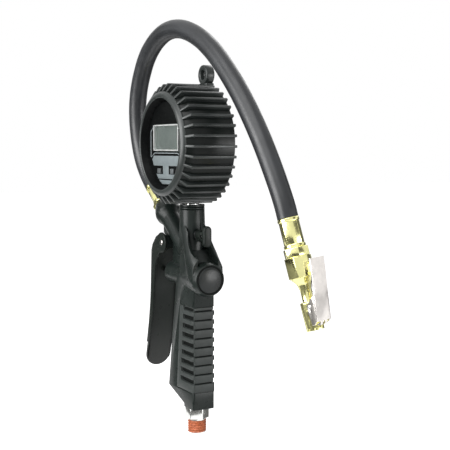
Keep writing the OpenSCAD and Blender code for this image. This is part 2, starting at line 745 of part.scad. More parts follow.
module deflate_stem() color(c_steel) {
  bar_x(deflate_seat - seat_gap, button_face - pad_t + 2.5, deflate_pin_r, deflate_z);
  bar_x(deflate_seat - seat_gap - deflate_disc_t, deflate_seat - seat_gap, deflate_disc_r, deflate_z);
}

module deflate_spring() color(c_bright) difference() {
  bar_x(bush_face, button_face - pad_t, deflate_spring_r, deflate_z);
  bar_x(bush_face - over, button_face, deflate_spring_r - spring_wire, deflate_z);
}

module deflate_bush() color(c_black) difference() {
  bar_x(deflate_seat, bush_face, deflate_bush_r, deflate_z);
  bar_x(deflate_seat - over, bush_face + over, deflate_pin_r + run_gap, deflate_z);
}

// ---------- gauge ----------

module gauge_stem() color(c_bright) difference() {
  union() {
    translate([neck_x, 0, neck_top - stem_thread_len])
      cylinder(r = stem_thread_r, h = stem_thread_len, $fn = 64);
    translate([neck_x, 0, neck_top]) cylinder(r = stem_flange_r, h = stem_gap, $fn = 64);
    translate([neck_x, 0, neck_top + stem_gap])
      cylinder(r = stem_tube_r, h = case_floor_z - neck_top - stem_gap, $fn = 64);
  }
  translate([neck_x, 0, neck_top - stem_thread_len - over])
    cylinder(r = 2, h = case_floor_z - neck_top + stem_thread_len + 2 * over, $fn = 48);
}

module gauge_stem_seal() color(c_black)
  translate([neck_x, 0, neck_top - stem_thread_len - seal_wire]) o_ring(stem_thread_r - seal_wire, seal_wire);

// The ribs round the boot, each drawn narrower towards its crest
module rib_outline() {
  slope = (rib_root_w - rib_w) / (2 * rib_h);
  for (i = [0:boot_ribs - 1]) rotate(rib_turn + i * 360 / boot_ribs)
    polygon([[case_r - 1, -rib_root_w / 2], [boot_base_r, -rib_root_w / 2],
      [boot_r + over, -rib_w / 2 + slope * over], [boot_r + over, rib_w / 2 - slope * over],
      [boot_base_r, rib_root_w / 2], [case_r - 1, rib_root_w / 2]]);
}

module gauge_boot() color(c_rubber) in_gauge() difference() {
  union() {
    turned_y([[0, lip_edge_y], [lip_out_r, lip_edge_y], [gap_front_r, lip_edge_y + 2.5],
      [boot_base_r, lip_edge_y + 7], [boot_base_r, crest_back - 0.3], [boot_back_r, boot_back],
      [0, boot_back]]);
    intersection() {
      translate([0, boot_back, 0]) rotate([90, 0, 0]) linear_extrude(boot_back - lip_edge_y) rib_outline();
      turned_y([[0, lip_edge_y], [lip_out_r + 0.3, lip_edge_y], [boot_r, crest_y], [boot_r, crest_back - 0.4],
        [boot_r - 0.4, crest_back], [0, crest_back]]);
    }
    turned_y([[lip_in_r - 3, lip_edge_y + 4], [lip_in_r, -boot_front], [lip_in_r + 1.5, -boot_front],
      [lip_out_r, lip_edge_y], [lip_out_r + 0.6, lip_edge_y + 4]]);
    // Hanging loop and its root
    bar_y(loop_y - loop_t / 2, loop_y + loop_t / 2, loop_d / 2, 0, boot_r + loop_rise);
    translate([-loop_d / 2 + 1, loop_y - loop_t / 2, boot_r - 7]) cube([loop_d - 2, loop_t, 8]);
  }
  // The case's seat, the open back and the stem's hole
  turned_y([[0, lip_edge_y + 4], [case_r + fit_gap, lip_edge_y + 4], [case_r + fit_gap, case_back],
    [0, case_back]]);
  turned_y([[0, case_back - 1], [case_r - 4, case_back - 1], [case_r - 4, boot_back + 1],
    [0, boot_back + 1]]);
  turned_y([[0, -boot_front - 1], [lip_in_r, -boot_front - 1], [lip_in_r, -boot_front + 0.4],
    [lip_in_r - 1.8, lip_edge_y + 4.5], [0, lip_edge_y + 4.5]]);
  translate([0, 0, -boot_r - over]) cylinder(r = stem_flange_r + 0.4, h = boot_t + rib_h + 3, $fn = 48);
  bar_y(loop_y - loop_t, loop_y + loop_t, loop_hole_d / 2, 0, boot_r + loop_rise);
}

module gauge_case() color(c_black) in_gauge() difference() {
  turned_y([[0, lip_edge_y + 4.6], [case_r, lip_edge_y + 4.6], [case_r, case_back], [0, case_back]]);
  turned_y([[0, lip_edge_y + 3], [case_r - case_t, lip_edge_y + 3], [case_r - case_t, case_back - case_t],
    [0, case_back - case_t]]);
  translate([0, 0, -case_r - over]) cylinder(r = stem_tube_r, h = case_t + over + 4, $fn = 48);
  translate([-door_w / 2 + door_rim, case_back - case_t - over, door_z - gauge_z - door_h / 2 + door_rim - 1])
    cube([door_w - 2 * door_rim, case_t + 2 * over, door_h - 2 * door_rim + 2]);
  bar_y(case_back - case_t - over, case_back + over, door_screw_r, door_screw_x, door_z - gauge_z);
  for (a = screw_angles) rotate([0, a, 0])
    bar_y(case_back - case_t - over, case_back + over, case_screw_r, 0, screw_circle);
}

module gauge_bezel() color(c_black) in_gauge() difference() {
  turned_y([[0, dial_y - 0.1], [dial_r, dial_y - 0.1], [lip_in_r - 0.2, -boot_front + 0.5],
    [lip_in_r - 1.9, lip_edge_y + 4.6], [lip_in_r + 2.2, lip_edge_y + 4.6],
    [lip_in_r + 2.2, board_y - seat_gap], [0, board_y - seat_gap]]);
  bar_y(dial_y - 6, board_y + over, dial_r);
}

module dial_plate() color(c_black) in_gauge() difference() {
  bar_y(dial_y, dial_y + dial_t, dial_r - fit_gap);
  translate([-display_w / 2 - hole_margin, dial_y - over, display_dz - display_h / 2 - hole_margin])
    cube([display_w + 2 * hole_margin, dial_t + 2 * over, display_h + 2 * hole_margin]);
  for (side = [-1, 1]) translate([side * dial_button_x, dial_y + dial_t / 2, dial_button_z])
    cube([dial_button_w + 2 * seat_gap, dial_t + 2 * over, dial_button_h + 2 * seat_gap], center = true);
}

// The display's metal frame, standing in the dial's window
module display_frame() color(c_bright) in_gauge() difference() {
  translate([-display_w / 2, dial_y - frame_t, display_dz - display_h / 2])
    cube([display_w, frame_t + dial_t, display_h]);
  translate([-window_w / 2, dial_y - frame_t - over, display_dz - window_h / 2])
    cube([window_w, frame_t + dial_t + 2 * over, window_h]);
}

module display_window() color([0.5, 0.55, 0.52, 0.5]) in_gauge()
  translate([-window_w / 2 + fit_gap, dial_y, display_dz - window_h / 2 + fit_gap])
    cube([window_w - 2 * fit_gap, dial_t, window_h - 2 * fit_gap]);

module display_panel() color([0.47, 0.50, 0.47]) in_gauge()
  translate([-display_w / 2 - hole_margin, dial_y + dial_t, display_dz - display_h / 2 - hole_margin])
    cube([display_w + 2 * hole_margin, board_y - dial_y - dial_t, display_h + 2 * hole_margin]);

// The bare printed label: a wide plate, a middle column between the buttons, a bar and a foot
module face_label() color([0.60, 0.65, 0.68]) in_gauge() slab(dial_y - label_t, dial_y)
  for (shape = label_shapes) polygon(dial_r * shape);

module dial_button(side) in_gauge() {
  front = dial_y - dial_button_proud;
  back = board_y - switch_t - dial_button_travel - seat_gap / 2;
  translate([side * dial_button_x - dial_button_w / 2, front, dial_button_z - dial_button_h / 2])
    cube([dial_button_w, back - front, dial_button_h]);
}

module left_dial_button() color([0.85, 0.87, 0.88]) dial_button(-1);

module right_dial_button() color([0.85, 0.87, 0.88]) dial_button(1);

module dial_switches() color(c_black) in_gauge() for (side = [-1, 1])
  translate([side * dial_button_x - 3, board_y - switch_t, dial_button_z - 3]) cube([6, switch_t, 6]);

module circuit_board() color(c_board) in_gauge()
  bar_y(board_y, board_y + board_t, board_r, 0, 0);

module pressure_sensor() color(c_steel) {
  translate([neck_x, 0, case_floor_z]) cylinder(r = sensor_r, h = 7, $fn = 48);
  translate([neck_x - 3, board_y + board_t, case_floor_z + 2])
    cube([6, -sensor_r + 1 - board_y - board_t, 4]);
}

module battery_tray() color(c_black) translate([neck_x, 0, 0]) difference() {
  translate([-tray_half, battery_y - battery_r - tray_t, battery_z[0] - battery_r - tray_t])
    cube([2 * tray_half, case_back - case_t - battery_y + battery_r + tray_t,
      battery_z[1] - battery_z[0] + 2 * battery_r + 2 * tray_t]);
  for (z = battery_z)
    translate([-battery_len / 2 - contact_t, battery_y - battery_r - fit_gap, z - battery_r - fit_gap])
      cube([battery_len + 2 * contact_t, case_back - battery_y + battery_r, 2 * battery_r + 2 * fit_gap]);
}

module batteries() color([0.35, 0.36, 0.38]) translate([neck_x, battery_y, 0]) for (z = battery_z)
  bar_x(-battery_len / 2, battery_len / 2, battery_r, z);

module battery_contacts() color(c_bright) for (z = battery_z, side = [-1, 1])
  translate([neck_x + side * (battery_len + contact_t) / 2, battery_y, z])
    cube([contact_t, contact_w, contact_w], center = true);

module battery_door() color(c_black) translate([neck_x, 0, door_z]) difference() {
  plug_w = door_w - 2 * door_rim - 2 * door_gap;
  plug_h = door_h - 2 * door_rim + 2 - 2 * door_gap;
  union() {
    translate([-door_w / 2, case_back, -door_h / 2]) cube([door_w, door_t, door_h]);
    bar_y(case_back, case_back + door_t, door_ear_r, door_screw_x, 0);
    translate([-plug_w / 2, case_back - case_t + door_gap, -plug_h / 2]) cube([plug_w, case_t, plug_h]);
  }
  bar_y(case_back - over, case_back + door_t + over, door_screw_r, door_screw_x, 0);
}

module door_screw() color(c_bright) translate([neck_x, 0, door_z]) {
  bar_y(case_back - case_t - 1, case_back + door_t, door_screw_r, door_screw_x, 0);
  bar_y(case_back + door_t, case_back + door_t + 0.8, 2 * door_screw_r, door_screw_x, 0);
}

module case_screws() color(c_bright) in_gauge() for (a = screw_angles) rotate([0, a, 0]) {
  bar_y(case_back - case_t - 2, case_back, case_screw_r, 0, screw_circle);
  bar_y(case_back, case_back + 1, 2 * case_screw_r, 0, screw_circle);
}

// ---------- hose ----------

// The direction of the hose at point i
function run(i) = let(
    a = HOSE[max(i - 1, 0)],
    b = HOSE[min(i + 1, len(HOSE) - 1)]
  ) (b - a) / norm(b - a);

// The ring of points round point i, square to the hose
function ring(i) = let(
    t = run(i),
    side = cross(t, [0, 1, 0]) / norm(cross(t, [0, 1, 0])),
    up = cross(side, t)
  ) [for (k = [0:hose_sides - 1]) let(a = 360 * k / hose_sides)
      HOSE[i] + hose_r * (cos(a) * side + sin(a) * up)];

module hose() color(c_rubber) {
  last = len(HOSE) - 1;
  n = hose_sides;
  polyhedron(
    points = [for (i = [0:last]) each ring(i)],
    faces = concat(
      [for (k = [1:n - 2]) [0, k + 1, k]],
      [for (i = [0:last - 1], k = [0:n - 1]) [i * n + k, i * n + (k + 1) % n, (i + 1) * n + k]],
      [for (i = [0:last - 1], k = [0:n - 1])
        [(i + 1) * n + k, i * n + (k + 1) % n, (i + 1) * n + (k + 1) % n]],
      [for (k = [1:n - 2]) [last * n, last * n + k, last * n + k + 1]]
    )
  );
}

// A crimped ferrule from 0 down to -ferrule_len, with a rim at each end and a waist
module ferrule() difference() {
  half = [[0, 0], [hose_r - 0.25, 0], [rim_r, -1.2], [rim_r, -3.6], [ferrule_r, -4.6],
    [ferrule_r, -ferrule_len / 2]];
  rotate_extrude($fn = 64) polygon(concat(half,
    [for (i = [len(half) - 2:-1:0]) [half[i][0], -ferrule_len - half[i][1]]]));
  translate([0, 0, -ferrule_len - over]) cylinder(r = tail_r + fit_gap, h = ferrule_len + 2 * over, $fn = 48);
}

// A barbed nipple: tail in the ferrule, hexagon below it and spigot below that
module nipple(hex_len, af, plug_r, plug_len) difference() {
  union() {
    translate([0, 0, -ferrule_len]) cylinder(r = tail_r, h = ferrule_len, $fn = 48);
    translate([0, 0, -ferrule_len - hex_len]) cylinder(d = af / cos(30), h = hex_len, $fn = 6);
    translate([0, 0, -ferrule_len - hex_len - plug_len]) cylinder(r = plug_r, h = plug_len, $fn = 48);
  }
  translate([0, 0, -ferrule_len - hex_len - plug_len - over])
    cylinder(r = 2, h = ferrule_len + hex_len + plug_len + 2 * over, $fn = 48);
}

module gun_ferrule() color(c_brass)
  on_branch() translate([0, 0, branch_len + gun_hex_len + ferrule_len]) ferrule();

module hose_nipple() color(c_brass)
  on_branch() translate([0, 0, branch_len + gun_hex_len + ferrule_len])
    nipple(gun_hex_len, nipple_af, branch_bore_r, gun_plug_len);

module chuck_ferrule() color(c_brass) on_chuck() ferrule();

module chuck_nipple() color(c_brass)
  on_chuck() rotate([0, 0, nipple_turn]) nipple(nipple_len, nipple_af, chuck_spigot_r, chuck_spigot_len);

// ---------- chuck ----------

module chuck_body() color(c_brass) on_chuck() difference() {
  union() {
    translate([0, 0, -cone_z]) rotate([0, 0, hex_turn])
      cylinder(d = chuck_af / cos(30), h = chuck_hex_len, $fn = 6);
    rotate_extrude($fn = 96) polygon([[0, -cone_z], [chuck_af / 2 + 0.3, -cone_z],
      [5, -cone_z - 0.875 * cone_len], [4.4, -cone_z - 1.25 * cone_len],
      [chuck_neck_d / 2, -cone_z - 2 * cone_len],
      [chuck_neck_d / 2, -head_z], [head_r - 0.6, -head_z], [head_r, -head_z - 0.6], [head_r, -head_end],
      [0, -head_end]]);
    // Two cheeks for the clip's pin
    for (side = [-1, 1])
      slab(side * head_r - (side > 0 ? cheek_t : 0), side * head_r + (side < 0 ? cheek_t : 0)) {
        translate([clip_pin_x, -clip_pivot_z]) circle(r = cheek_r, $fn = 48);
        translate([0, -clip_pivot_z - cheek_r]) square([clip_pin_x, 2 * cheek_r]);
      }
  }
  translate([0, 0, -chuck_z0 - chuck_spigot_len - 0.5])
    cylinder(r = chuck_spigot_r + fit_gap, h = chuck_spigot_len + 0.5 + over, $fn = 48);
  translate([0, 0, -head_end]) cylinder(r = air_way_r, h = head_end - chuck_z0, $fn = 48);
  translate([0, 0, -head_end]) cylinder(r = core_r, h = head_end - core_z, $fn = 64);
  translate([0, 0, -head_end - over]) cylinder(r = mouth_r, h = mouth_depth + over, $fn = 64);
  // Pocket for the clip's spring, the pin's hole and the window for the clip's tooth
  translate([clip_pin_x - pocket_r, -head_r + cheek_t, -clip_pivot_z - pocket_r])
    cube([head_r, 2 * (head_r - cheek_t), 2 * pocket_r]);
  translate([0, 0, -clip_pivot_z]) bar_y(-head_r - over, head_r + over, clip_pin_r, clip_pin_x, 0);
  for (side = [-1, 1])
    translate([0, side * prong_y - prong_w / 2 - seat_gap, -head_end + tooth_z - tooth_room])
    cube([head_r + over, prong_w + 2 * seat_gap, tooth_t + 2.5 * tooth_room]);
  // Serrations round the mouth's rim
  for (a = [45:45:315]) rotate([0, 0, a]) translate([mouth_r + 0.6, -serration_w / 2, -head_end - over])
    cube([head_r, serration_w, serration_h + over]);
}

module chuck_seal() color(c_black) on_chuck() difference() {
  translate([0, 0, -seal_z - seal_t]) cylinder(r = core_r - fit_gap, h = seal_t, $fn = 64);
  translate([0, 0, -seal_z - seal_t - over]) cylinder(r = seal_hole_r, h = seal_t + 2 * over, $fn = 48);
}

module core_pin() color(c_brass) on_chuck() difference() {
  union() {
    translate([0, 0, -core_z - core_t]) cylinder(r = core_r - fit_gap, h = core_t, $fn = 64);
    translate([0, 0, -seal_z - seal_t]) cylinder(r = core_pin_r, h = seal_t + core_t, $fn = 32);
  }
  for (a = [0:120:240]) rotate([0, 0, a]) translate([core_pin_r + 0.65, 0, -core_z - core_t - over])
    cylinder(r = 0.5, h = core_t + 2 * over, $fn = 24);
}

module clip_lever() color(c_bright) on_chuck() difference() {
  union() {
    // The plate, from the thumb end down to the jaw
    slab(-clip_w / 2, clip_w / 2) polygon(concat(clip_out,
      [for (i = [len(clip_out) - 1:-1:0]) clip_out[i] - [clip_t, 0]]));
    // Two flanges that straddle the head
    for (side = [-1, 1])
      slab(side * clip_flange_half - (side > 0 ? clip_t : 0),
        side * clip_flange_half + (side < 0 ? clip_t : 0))
        polygon(clip_side);
    // The jaw: two prongs below the plate, each with a tooth towards the mouth
    for (side = [-1, 1]) slab(side * prong_y - prong_w / 2, side * prong_y + prong_w / 2)
      polygon([clip_end, [jaw_x, -head_end + tooth_z], [mouth_r + tooth_gap, -head_end + tooth_z],
        [mouth_r + tooth_gap, -head_end + tooth_z + tooth_t],
        [jaw_x - clip_t, -head_end + tooth_z + tooth_t + 0.2], clip_end - [clip_t, 0]]);
  }
  translate([0, 0, -clip_pivot_z]) bar_y(-clip_flange_half - over, clip_flange_half + over,
    clip_pin_r + run_gap, clip_pin_x, 0);
}

module clip_pin() color(c_steel) on_chuck() translate([0, 0, -clip_pivot_z])
  bar_y(-clip_flange_half - 0.5, clip_flange_half + 0.5, clip_pin_r, clip_pin_x, 0);

module clip_spring() color(c_steel) on_chuck() translate([0, 0, -clip_pivot_z]) difference() {
  bar_y(-head_r + cheek_t + 0.1, head_r - cheek_t - 0.1, clip_spring_r, clip_pin_x, 0);
  bar_y(-head_r, head_r, clip_pin_r + run_gap, clip_pin_x, 0);
}

gun_body();
grip_cover();
inlet_fitting();
thread_sealant();
inlet_filter();
inlet_seal();
valve_seat();
valve_stem();
valve_spring();
stem_bush();
stem_seal();
valve_cap();
cap_seal();
lever();
lever_pin();
pin_clip();
deflate_button();
deflate_stem();
deflate_spring();
deflate_bush();
gauge_stem();
gauge_stem_seal();
gauge_boot();
gauge_case();
gauge_bezel();
dial_plate();
display_frame();
display_window();
display_panel();
face_label();
left_dial_button();
right_dial_button();
dial_switches();
circuit_board();
pressure_sensor();
battery_tray();
batteries();
battery_contacts();
battery_door();
door_screw();
case_screws();
hose_nipple();
gun_ferrule();
hose();
chuck_ferrule();
chuck_nipple();
chuck_body();
chuck_seal();
core_pin();
clip_lever();
clip_pin();
clip_spring();
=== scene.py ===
# %% [markdown]
# # A tyre inflator with a digital gauge
# A hand tool for air lines: a ribbed grip with a long squeeze lever, a round gauge in a rubber boot,
# a short hose and a clip-on chuck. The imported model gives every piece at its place. This lesson gives
# them the rounded edges, the finishes and the light that make them look like the real thing.

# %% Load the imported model
import json
import math

import bpy
from mathutils import Matrix, Vector

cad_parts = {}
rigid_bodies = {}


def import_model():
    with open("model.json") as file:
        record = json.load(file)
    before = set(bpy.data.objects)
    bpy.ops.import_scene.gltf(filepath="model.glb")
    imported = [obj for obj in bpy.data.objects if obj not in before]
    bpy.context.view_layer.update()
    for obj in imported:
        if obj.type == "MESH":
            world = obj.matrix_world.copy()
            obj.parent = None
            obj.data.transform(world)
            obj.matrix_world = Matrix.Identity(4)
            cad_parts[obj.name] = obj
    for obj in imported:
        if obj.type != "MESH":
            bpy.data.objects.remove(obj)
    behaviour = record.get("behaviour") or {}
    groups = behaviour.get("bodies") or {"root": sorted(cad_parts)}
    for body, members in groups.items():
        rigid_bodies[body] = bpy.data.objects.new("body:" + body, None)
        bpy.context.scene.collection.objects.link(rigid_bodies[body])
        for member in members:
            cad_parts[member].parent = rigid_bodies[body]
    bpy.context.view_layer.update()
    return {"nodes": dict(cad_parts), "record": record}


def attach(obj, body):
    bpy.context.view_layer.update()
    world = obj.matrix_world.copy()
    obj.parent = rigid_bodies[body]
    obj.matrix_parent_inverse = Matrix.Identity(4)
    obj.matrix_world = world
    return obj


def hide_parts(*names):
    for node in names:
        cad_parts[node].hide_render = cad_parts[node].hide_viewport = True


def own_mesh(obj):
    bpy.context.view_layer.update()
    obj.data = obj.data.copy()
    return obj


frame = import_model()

MM = 0.001

# %% [markdown]
# ## The camera
# A small product like this is shot with a long lens from a little above its middle, and from the side,
# so that the gauge's face, its ribbed rim and the back of the grip all show. The camera is aimed by a
# bearing and a tilt, which are easier to reason about than a rotation in three numbers.

# %% Camera
CAMERA_PLACE = Vector((0.6009, -0.3100, 0.2054))
CAMERA_BEARING = math.radians(61)
CAMERA_TILT = math.radians(4.674)
CAMERA_LENS = 76.32

camera_data = bpy.data.cameras.new("camera")
camera_data.lens = CAMERA_LENS
camera_data.sensor_width = 36
camera = bpy.data.objects.new("camera", camera_data)
bpy.context.scene.collection.objects.link(camera)
bpy.context.scene.camera = camera
aim = Vector((-math.sin(CAMERA_BEARING) * math.cos(CAMERA_TILT),
              math.cos(CAMERA_BEARING) * math.cos(CAMERA_TILT),
              -math.sin(CAMERA_TILT)))
camera.location = CAMERA_PLACE
camera.rotation_euler = aim.to_track_quat("-Z", "Y").to_euler()
print("camera looks along", [round(v, 3) for v in aim])

# %% [markdown]
# ## Node materials
# Every finish here is a Principled shader with a little noise behind it: a coarse one that moves the
# colour, a middle one for the gloss and a fine one for the grain. They all read Object coordinates,
# in metres, so a scale of 1000 gives features about a millimetre across on every piece. Hardly any of a
# noise lies below 0.3 or above 0.7, so what it drives is spread over that range.

# %% Material helpers
FINISHES = {}
NOISE_LOW, NOISE_HIGH = 0.3, 0.7


def new_material(name, colour, roughness, metallic=0.0):
    """A material with a Principled shader, and its node tree for more."""
    made = bpy.data.materials.new(name)
    FINISHES[name] = made
    made.use_nodes = True
    shader = made.node_tree.nodes["Principled BSDF"]
    shader.inputs["Base Color"].default_value = (*colour, 1)
    shader.inputs["Roughness"].default_value = roughness
    shader.inputs["Metallic"].default_value = metallic
    return made, made.node_tree, shader


def noise(tree, scale, detail=3.0, stretch=(1, 1, 1)):
    """A noise texture in Object coordinates, stretched along the axes if asked."""
    place = tree.nodes.new("ShaderNodeTexCoord")
    mapping = tree.nodes.new("ShaderNodeMapping")
    mapping.inputs["Scale"].default_value = stretch
    texture = tree.nodes.new("ShaderNodeTexNoise")
    texture.inputs["Scale"].default_value = scale
    texture.inputs["Detail"].default_value = detail
    tree.links.new(place.outputs["Object"], mapping.inputs["Vector"])
    tree.links.new(mapping.outputs["Vector"], texture.inputs["Vector"])
    return texture.outputs["Fac"]


def vary(tree, source, socket, low, high):
    """Drives a number socket from a noise, between low and high."""
    ramp = tree.nodes.new("ShaderNodeMapRange")
    ramp.inputs["From Min"].default_value = NOISE_LOW
    ramp.inputs["From Max"].default_value = NOISE_HIGH
    ramp.inputs["To Min"].default_value = low
    ramp.inputs["To Max"].default_value = high
    tree.links.new(source, ramp.inputs["Value"])
    tree.links.new(ramp.outputs["Result"], socket)


def tint(tree, source, socket, dark, light):
    """Drives a colour socket from a noise, between two colours."""
    ramp = tree.nodes.new("ShaderNodeValToRGB")
    ramp.color_ramp.elements[0].position = NOISE_LOW
    ramp.color_ramp.elements[0].color = (*dark, 1)
    ramp.color_ramp.elements[1].position = NOISE_HIGH
    ramp.color_ramp.elements[1].color = (*light, 1)
    tree.links.new(source, ramp.inputs["Fac"])
    tree.links.new(ramp.outputs["Color"], socket)


def grain(tree, shader, source, strength, depth):
    """Puts a fine relief of that depth, in metres, on the surface."""
    bump = tree.nodes.new("ShaderNodeBump")
    bump.inputs["Strength"].default_value = strength
    bump.inputs["Distance"].default_value = depth
    tree.links.new(source, bump.inputs["Height"])
    tree.links.new(bump.outputs["Normal"], shader.inputs["Normal"])


def shade(colour, factor):
    """A colour made lighter or darker."""
    return tuple(c * factor for c in colour)


print("noise range", NOISE_LOW, NOISE_HIGH)

# %% [markdown]
# ## Black plastic and rubber
# The body is moulded nylon with a fine spark-eroded grain, so its gloss is broad and soft. The rubber
# parts are softer still, a little lighter, and pick up a faint bloom. One recipe serves them all: what
# changes is the colour, the gloss and how coarse the grain is.

# %% Moulded finish helper
TONE_SCALE, GLOSS_SCALE = 55, 160


def moulded(name, colour, roughness, grain_scale=2600, grain_depth=0.00004, specular=0.22):
    """Black nylon or rubber: three noises, for tone, gloss and grain."""
    made, tree, shader = new_material(name, colour, roughness)
    shader.inputs["Specular IOR Level"].default_value = specular
    tone = noise(tree, TONE_SCALE)
    tint(tree, tone, shader.inputs["Base Color"], shade(colour, 0.82), shade(colour, 1.2))
    gloss = noise(tree, GLOSS_SCALE)
    vary(tree, gloss, shader.inputs["Roughness"], roughness - 0.05, roughness + 0.06)
    grain(tree, shader, noise(tree, grain_scale, 2), 0.35, grain_depth)
    return made


# %% Moulded finishes
moulded("body_plastic", (0.0070, 0.0100, 0.0088), 0.30, 2600, 0.00003, 0.20)
lever_finish = moulded("lever_plastic", (0.0080, 0.0105, 0.0090), 0.32, 2600, 0.00004, 0.14)
moulded("cap_plastic", (0.0105, 0.0122, 0.0120), 0.30, 2600, 0.00003, 0.28)
moulded("grip_rubber", (0.0190, 0.0230, 0.0215), 0.48, 1900, 0.00006, 0.30)
moulded("boot_rubber", (0.0165, 0.0200, 0.0190), 0.33, 2100, 0.00004, 0.42)
# The next finish, far darker than the boot's rubber, is painted shade for the gaps between the boot's
# ribs.
moulded("boot_gap_painted_shade", (0.0032, 0.0048, 0.0042), 0.33, 2100, 0.00004, 0.20)
moulded("hose_rubber", (0.0130, 0.0142, 0.0160), 0.36, 1500, 0.00003, 0.45)
# This near-black finish is painted shade for the deep gaps: the grip's grooves and the ring round the
# cap.
moulded("gap_painted_shade", (0.0022, 0.0030, 0.0026), 0.60, 2100, 0.00004, 0.08)
moulded("seal_rubber", (0.0060, 0.0060, 0.0060), 0.50, 3000, 0.00002, 0.30)
moulded("dial_black", (0.0018, 0.0022, 0.0022), 0.45, 3400, 0.00001, 0.06)
print("moulded finishes", ", ".join(FINISHES))

# %% [markdown]
# ## Painted light on the lever
# The body shades the lever's upper half, so the black is painted a little grey towards the lower end:
# painted light and shade. The blend follows the height, which Object coordinates give in metres.

# %% Painted light on the lever
LEVER_LIGHT_LOW, LEVER_SHADE_HIGH = 0.030, 0.088


def paint_lever_light(made, low_z, high_z, lit_colour):
    """Paints light and shade on a finish: lighter towards its lower end, between two heights in metres.
    """
    tree = made.node_tree
    shader = tree.nodes["Principled BSDF"]
    base_tone = shader.inputs["Base Color"].links[0].from_socket
    place = tree.nodes.new("ShaderNodeTexCoord")
    axes = tree.nodes.new("ShaderNodeSeparateXYZ")
    tree.links.new(place.outputs["Object"], axes.inputs["Vector"])
    fade = tree.nodes.new("ShaderNodeMapRange")
    fade.interpolation_type = "SMOOTHSTEP"
    fade.inputs["From Min"].default_value = high_z
    fade.inputs["From Max"].default_value = low_z
    tree.links.new(axes.outputs["Z"], fade.inputs["Value"])
    blend = tree.nodes.new("ShaderNodeMix")
    blend.data_type = "RGBA"
    blend.inputs["B"].default_value = (*lit_colour, 1)
    tree.links.new(fade.outputs["Result"], blend.inputs["Factor"])
    tree.links.new(base_tone, blend.inputs["A"])
    tree.links.new(blend.outputs["Result"], shader.inputs["Base Color"])


# The lever's lower end is painted lighter: painted light below the body's shade.
paint_lever_light(lever_finish, LEVER_LIGHT_LOW, LEVER_SHADE_HIGH, (0.030, 0.031, 0.030))
print("painted lever light from", LEVER_LIGHT_LOW, "to", LEVER_SHADE_HIGH, "m")

# %% [markdown]
# ## Metals
# The brass parts are bright plated, so they mirror the room, and their colour leans to yellow-green.
# Turning leaves fine marks, which a noise stretched along one axis stands for. Zinc, nickel and spring
# steel use the same recipe with their own colours.

# %% Metal finishes
STAIN_SCALE = 240


def metal(name, colour, roughness, scale=700, depth=0.00001, stretch=(1, 1, 1)):
    """Bare or plated metal with slight stains and fine machining marks."""
    made, tree, shader = new_material(name, colour, roughness, 1.0)
    stain = noise(tree, STAIN_SCALE)
    tint(tree, stain, shader.inputs["Base Color"], shade(colour, 0.93), shade(colour, 1.05))
    marks = noise(tree, scale, 3, stretch)
    vary(tree, marks, shader.inputs["Roughness"], roughness - 0.05, roughness + 0.07)
    grain(tree, shader, noise(tree, 2 * scale, 2, stretch), 0.25, depth)
    return made


metal("brass", (0.84, 0.81, 0.38), 0.13, 700, 0.00001, (1, 1, 4))
metal("sintered_brass", (0.60, 0.45, 0.20), 0.55, 1800, 0.00008)
metal("plated_steel", (0.72, 0.73, 0.71), 0.16, 700, 0.000004)
metal("spring_steel", (0.60, 0.60, 0.60), 0.28)
metal("clip_nickel", (0.83, 0.79, 0.755), 0.12, 300, 0.000002)
metal("frame_silver", (0.80, 0.81, 0.80), 0.45)
print("finishes with the metals", len(FINISHES))

# %% [markdown]
# ## Thread sealant and printed parts
# The inlet's thread comes with an orange sealing compound already on it. It is waxy, a little blotchy,
# and thin on the crests, where the metal glints through. The label is a satin print, the display is
# grey glass over a grey panel, and the board is green lacquer over copper.

# %% Printed and waxy finishes
def coated(name, dark, light, roughness, blotch, metallic=0.0, relief=0.00002):
    """A surface whose two tones mix in blotches of a given scale."""
    made, tree, shader = new_material(name, light, roughness, metallic)
    patch = noise(tree, blotch, 4)
    tint(tree, patch, shader.inputs["Base Color"], dark, light)
    vary(tree, noise(tree, 2 * blotch), shader.inputs["Roughness"], roughness - 0.06, roughness + 0.08)
    grain(tree, shader, noise(tree, 4 * blotch, 2), 0.3, relief)
    return made


coated("sealant", (0.20, 0.045, 0.014), (0.48, 0.140, 0.058), 0.28, 620, 0.15, 0.00006)
coated("label_grey", (0.105, 0.125, 0.130), (0.125, 0.145, 0.150), 0.42, 300)
coated("label_line", (0.20, 0.23, 0.24), (0.25, 0.28, 0.29), 0.40, 300)
coated("button_grey", (0.05, 0.056, 0.058), (0.07, 0.078, 0.08), 0.40, 300)
coated("display_grey", (0.042, 0.055, 0.050), (0.055, 0.068, 0.062), 0.35, 60)
coated("board_green", (0.010, 0.10, 0.035), (0.02, 0.17, 0.06), 0.32, 200)
coated("battery_wrap", (0.05, 0.05, 0.055), (0.09, 0.09, 0.10), 0.28, 80)

clear_tree, clear_shader = new_material("display_clear", (0.30, 0.34, 0.32), 0.10)[1:]
clear_shader.inputs["Alpha"].default_value = 0.12
vary(clear_tree, noise(clear_tree, 90), clear_shader.inputs["Roughness"], 0.05, 0.12)
print("finishes", len(FINISHES))

# %% [markdown]
# ## The hose
# The hose is a fixed length of rubber that leaves the branch in line with its ferrule, arches over the
# gauge and hangs down to the chuck. A Bezier curve with automatic handles through a few points gives
# it one smooth line, and the curve's own bevel gives it its thickness.

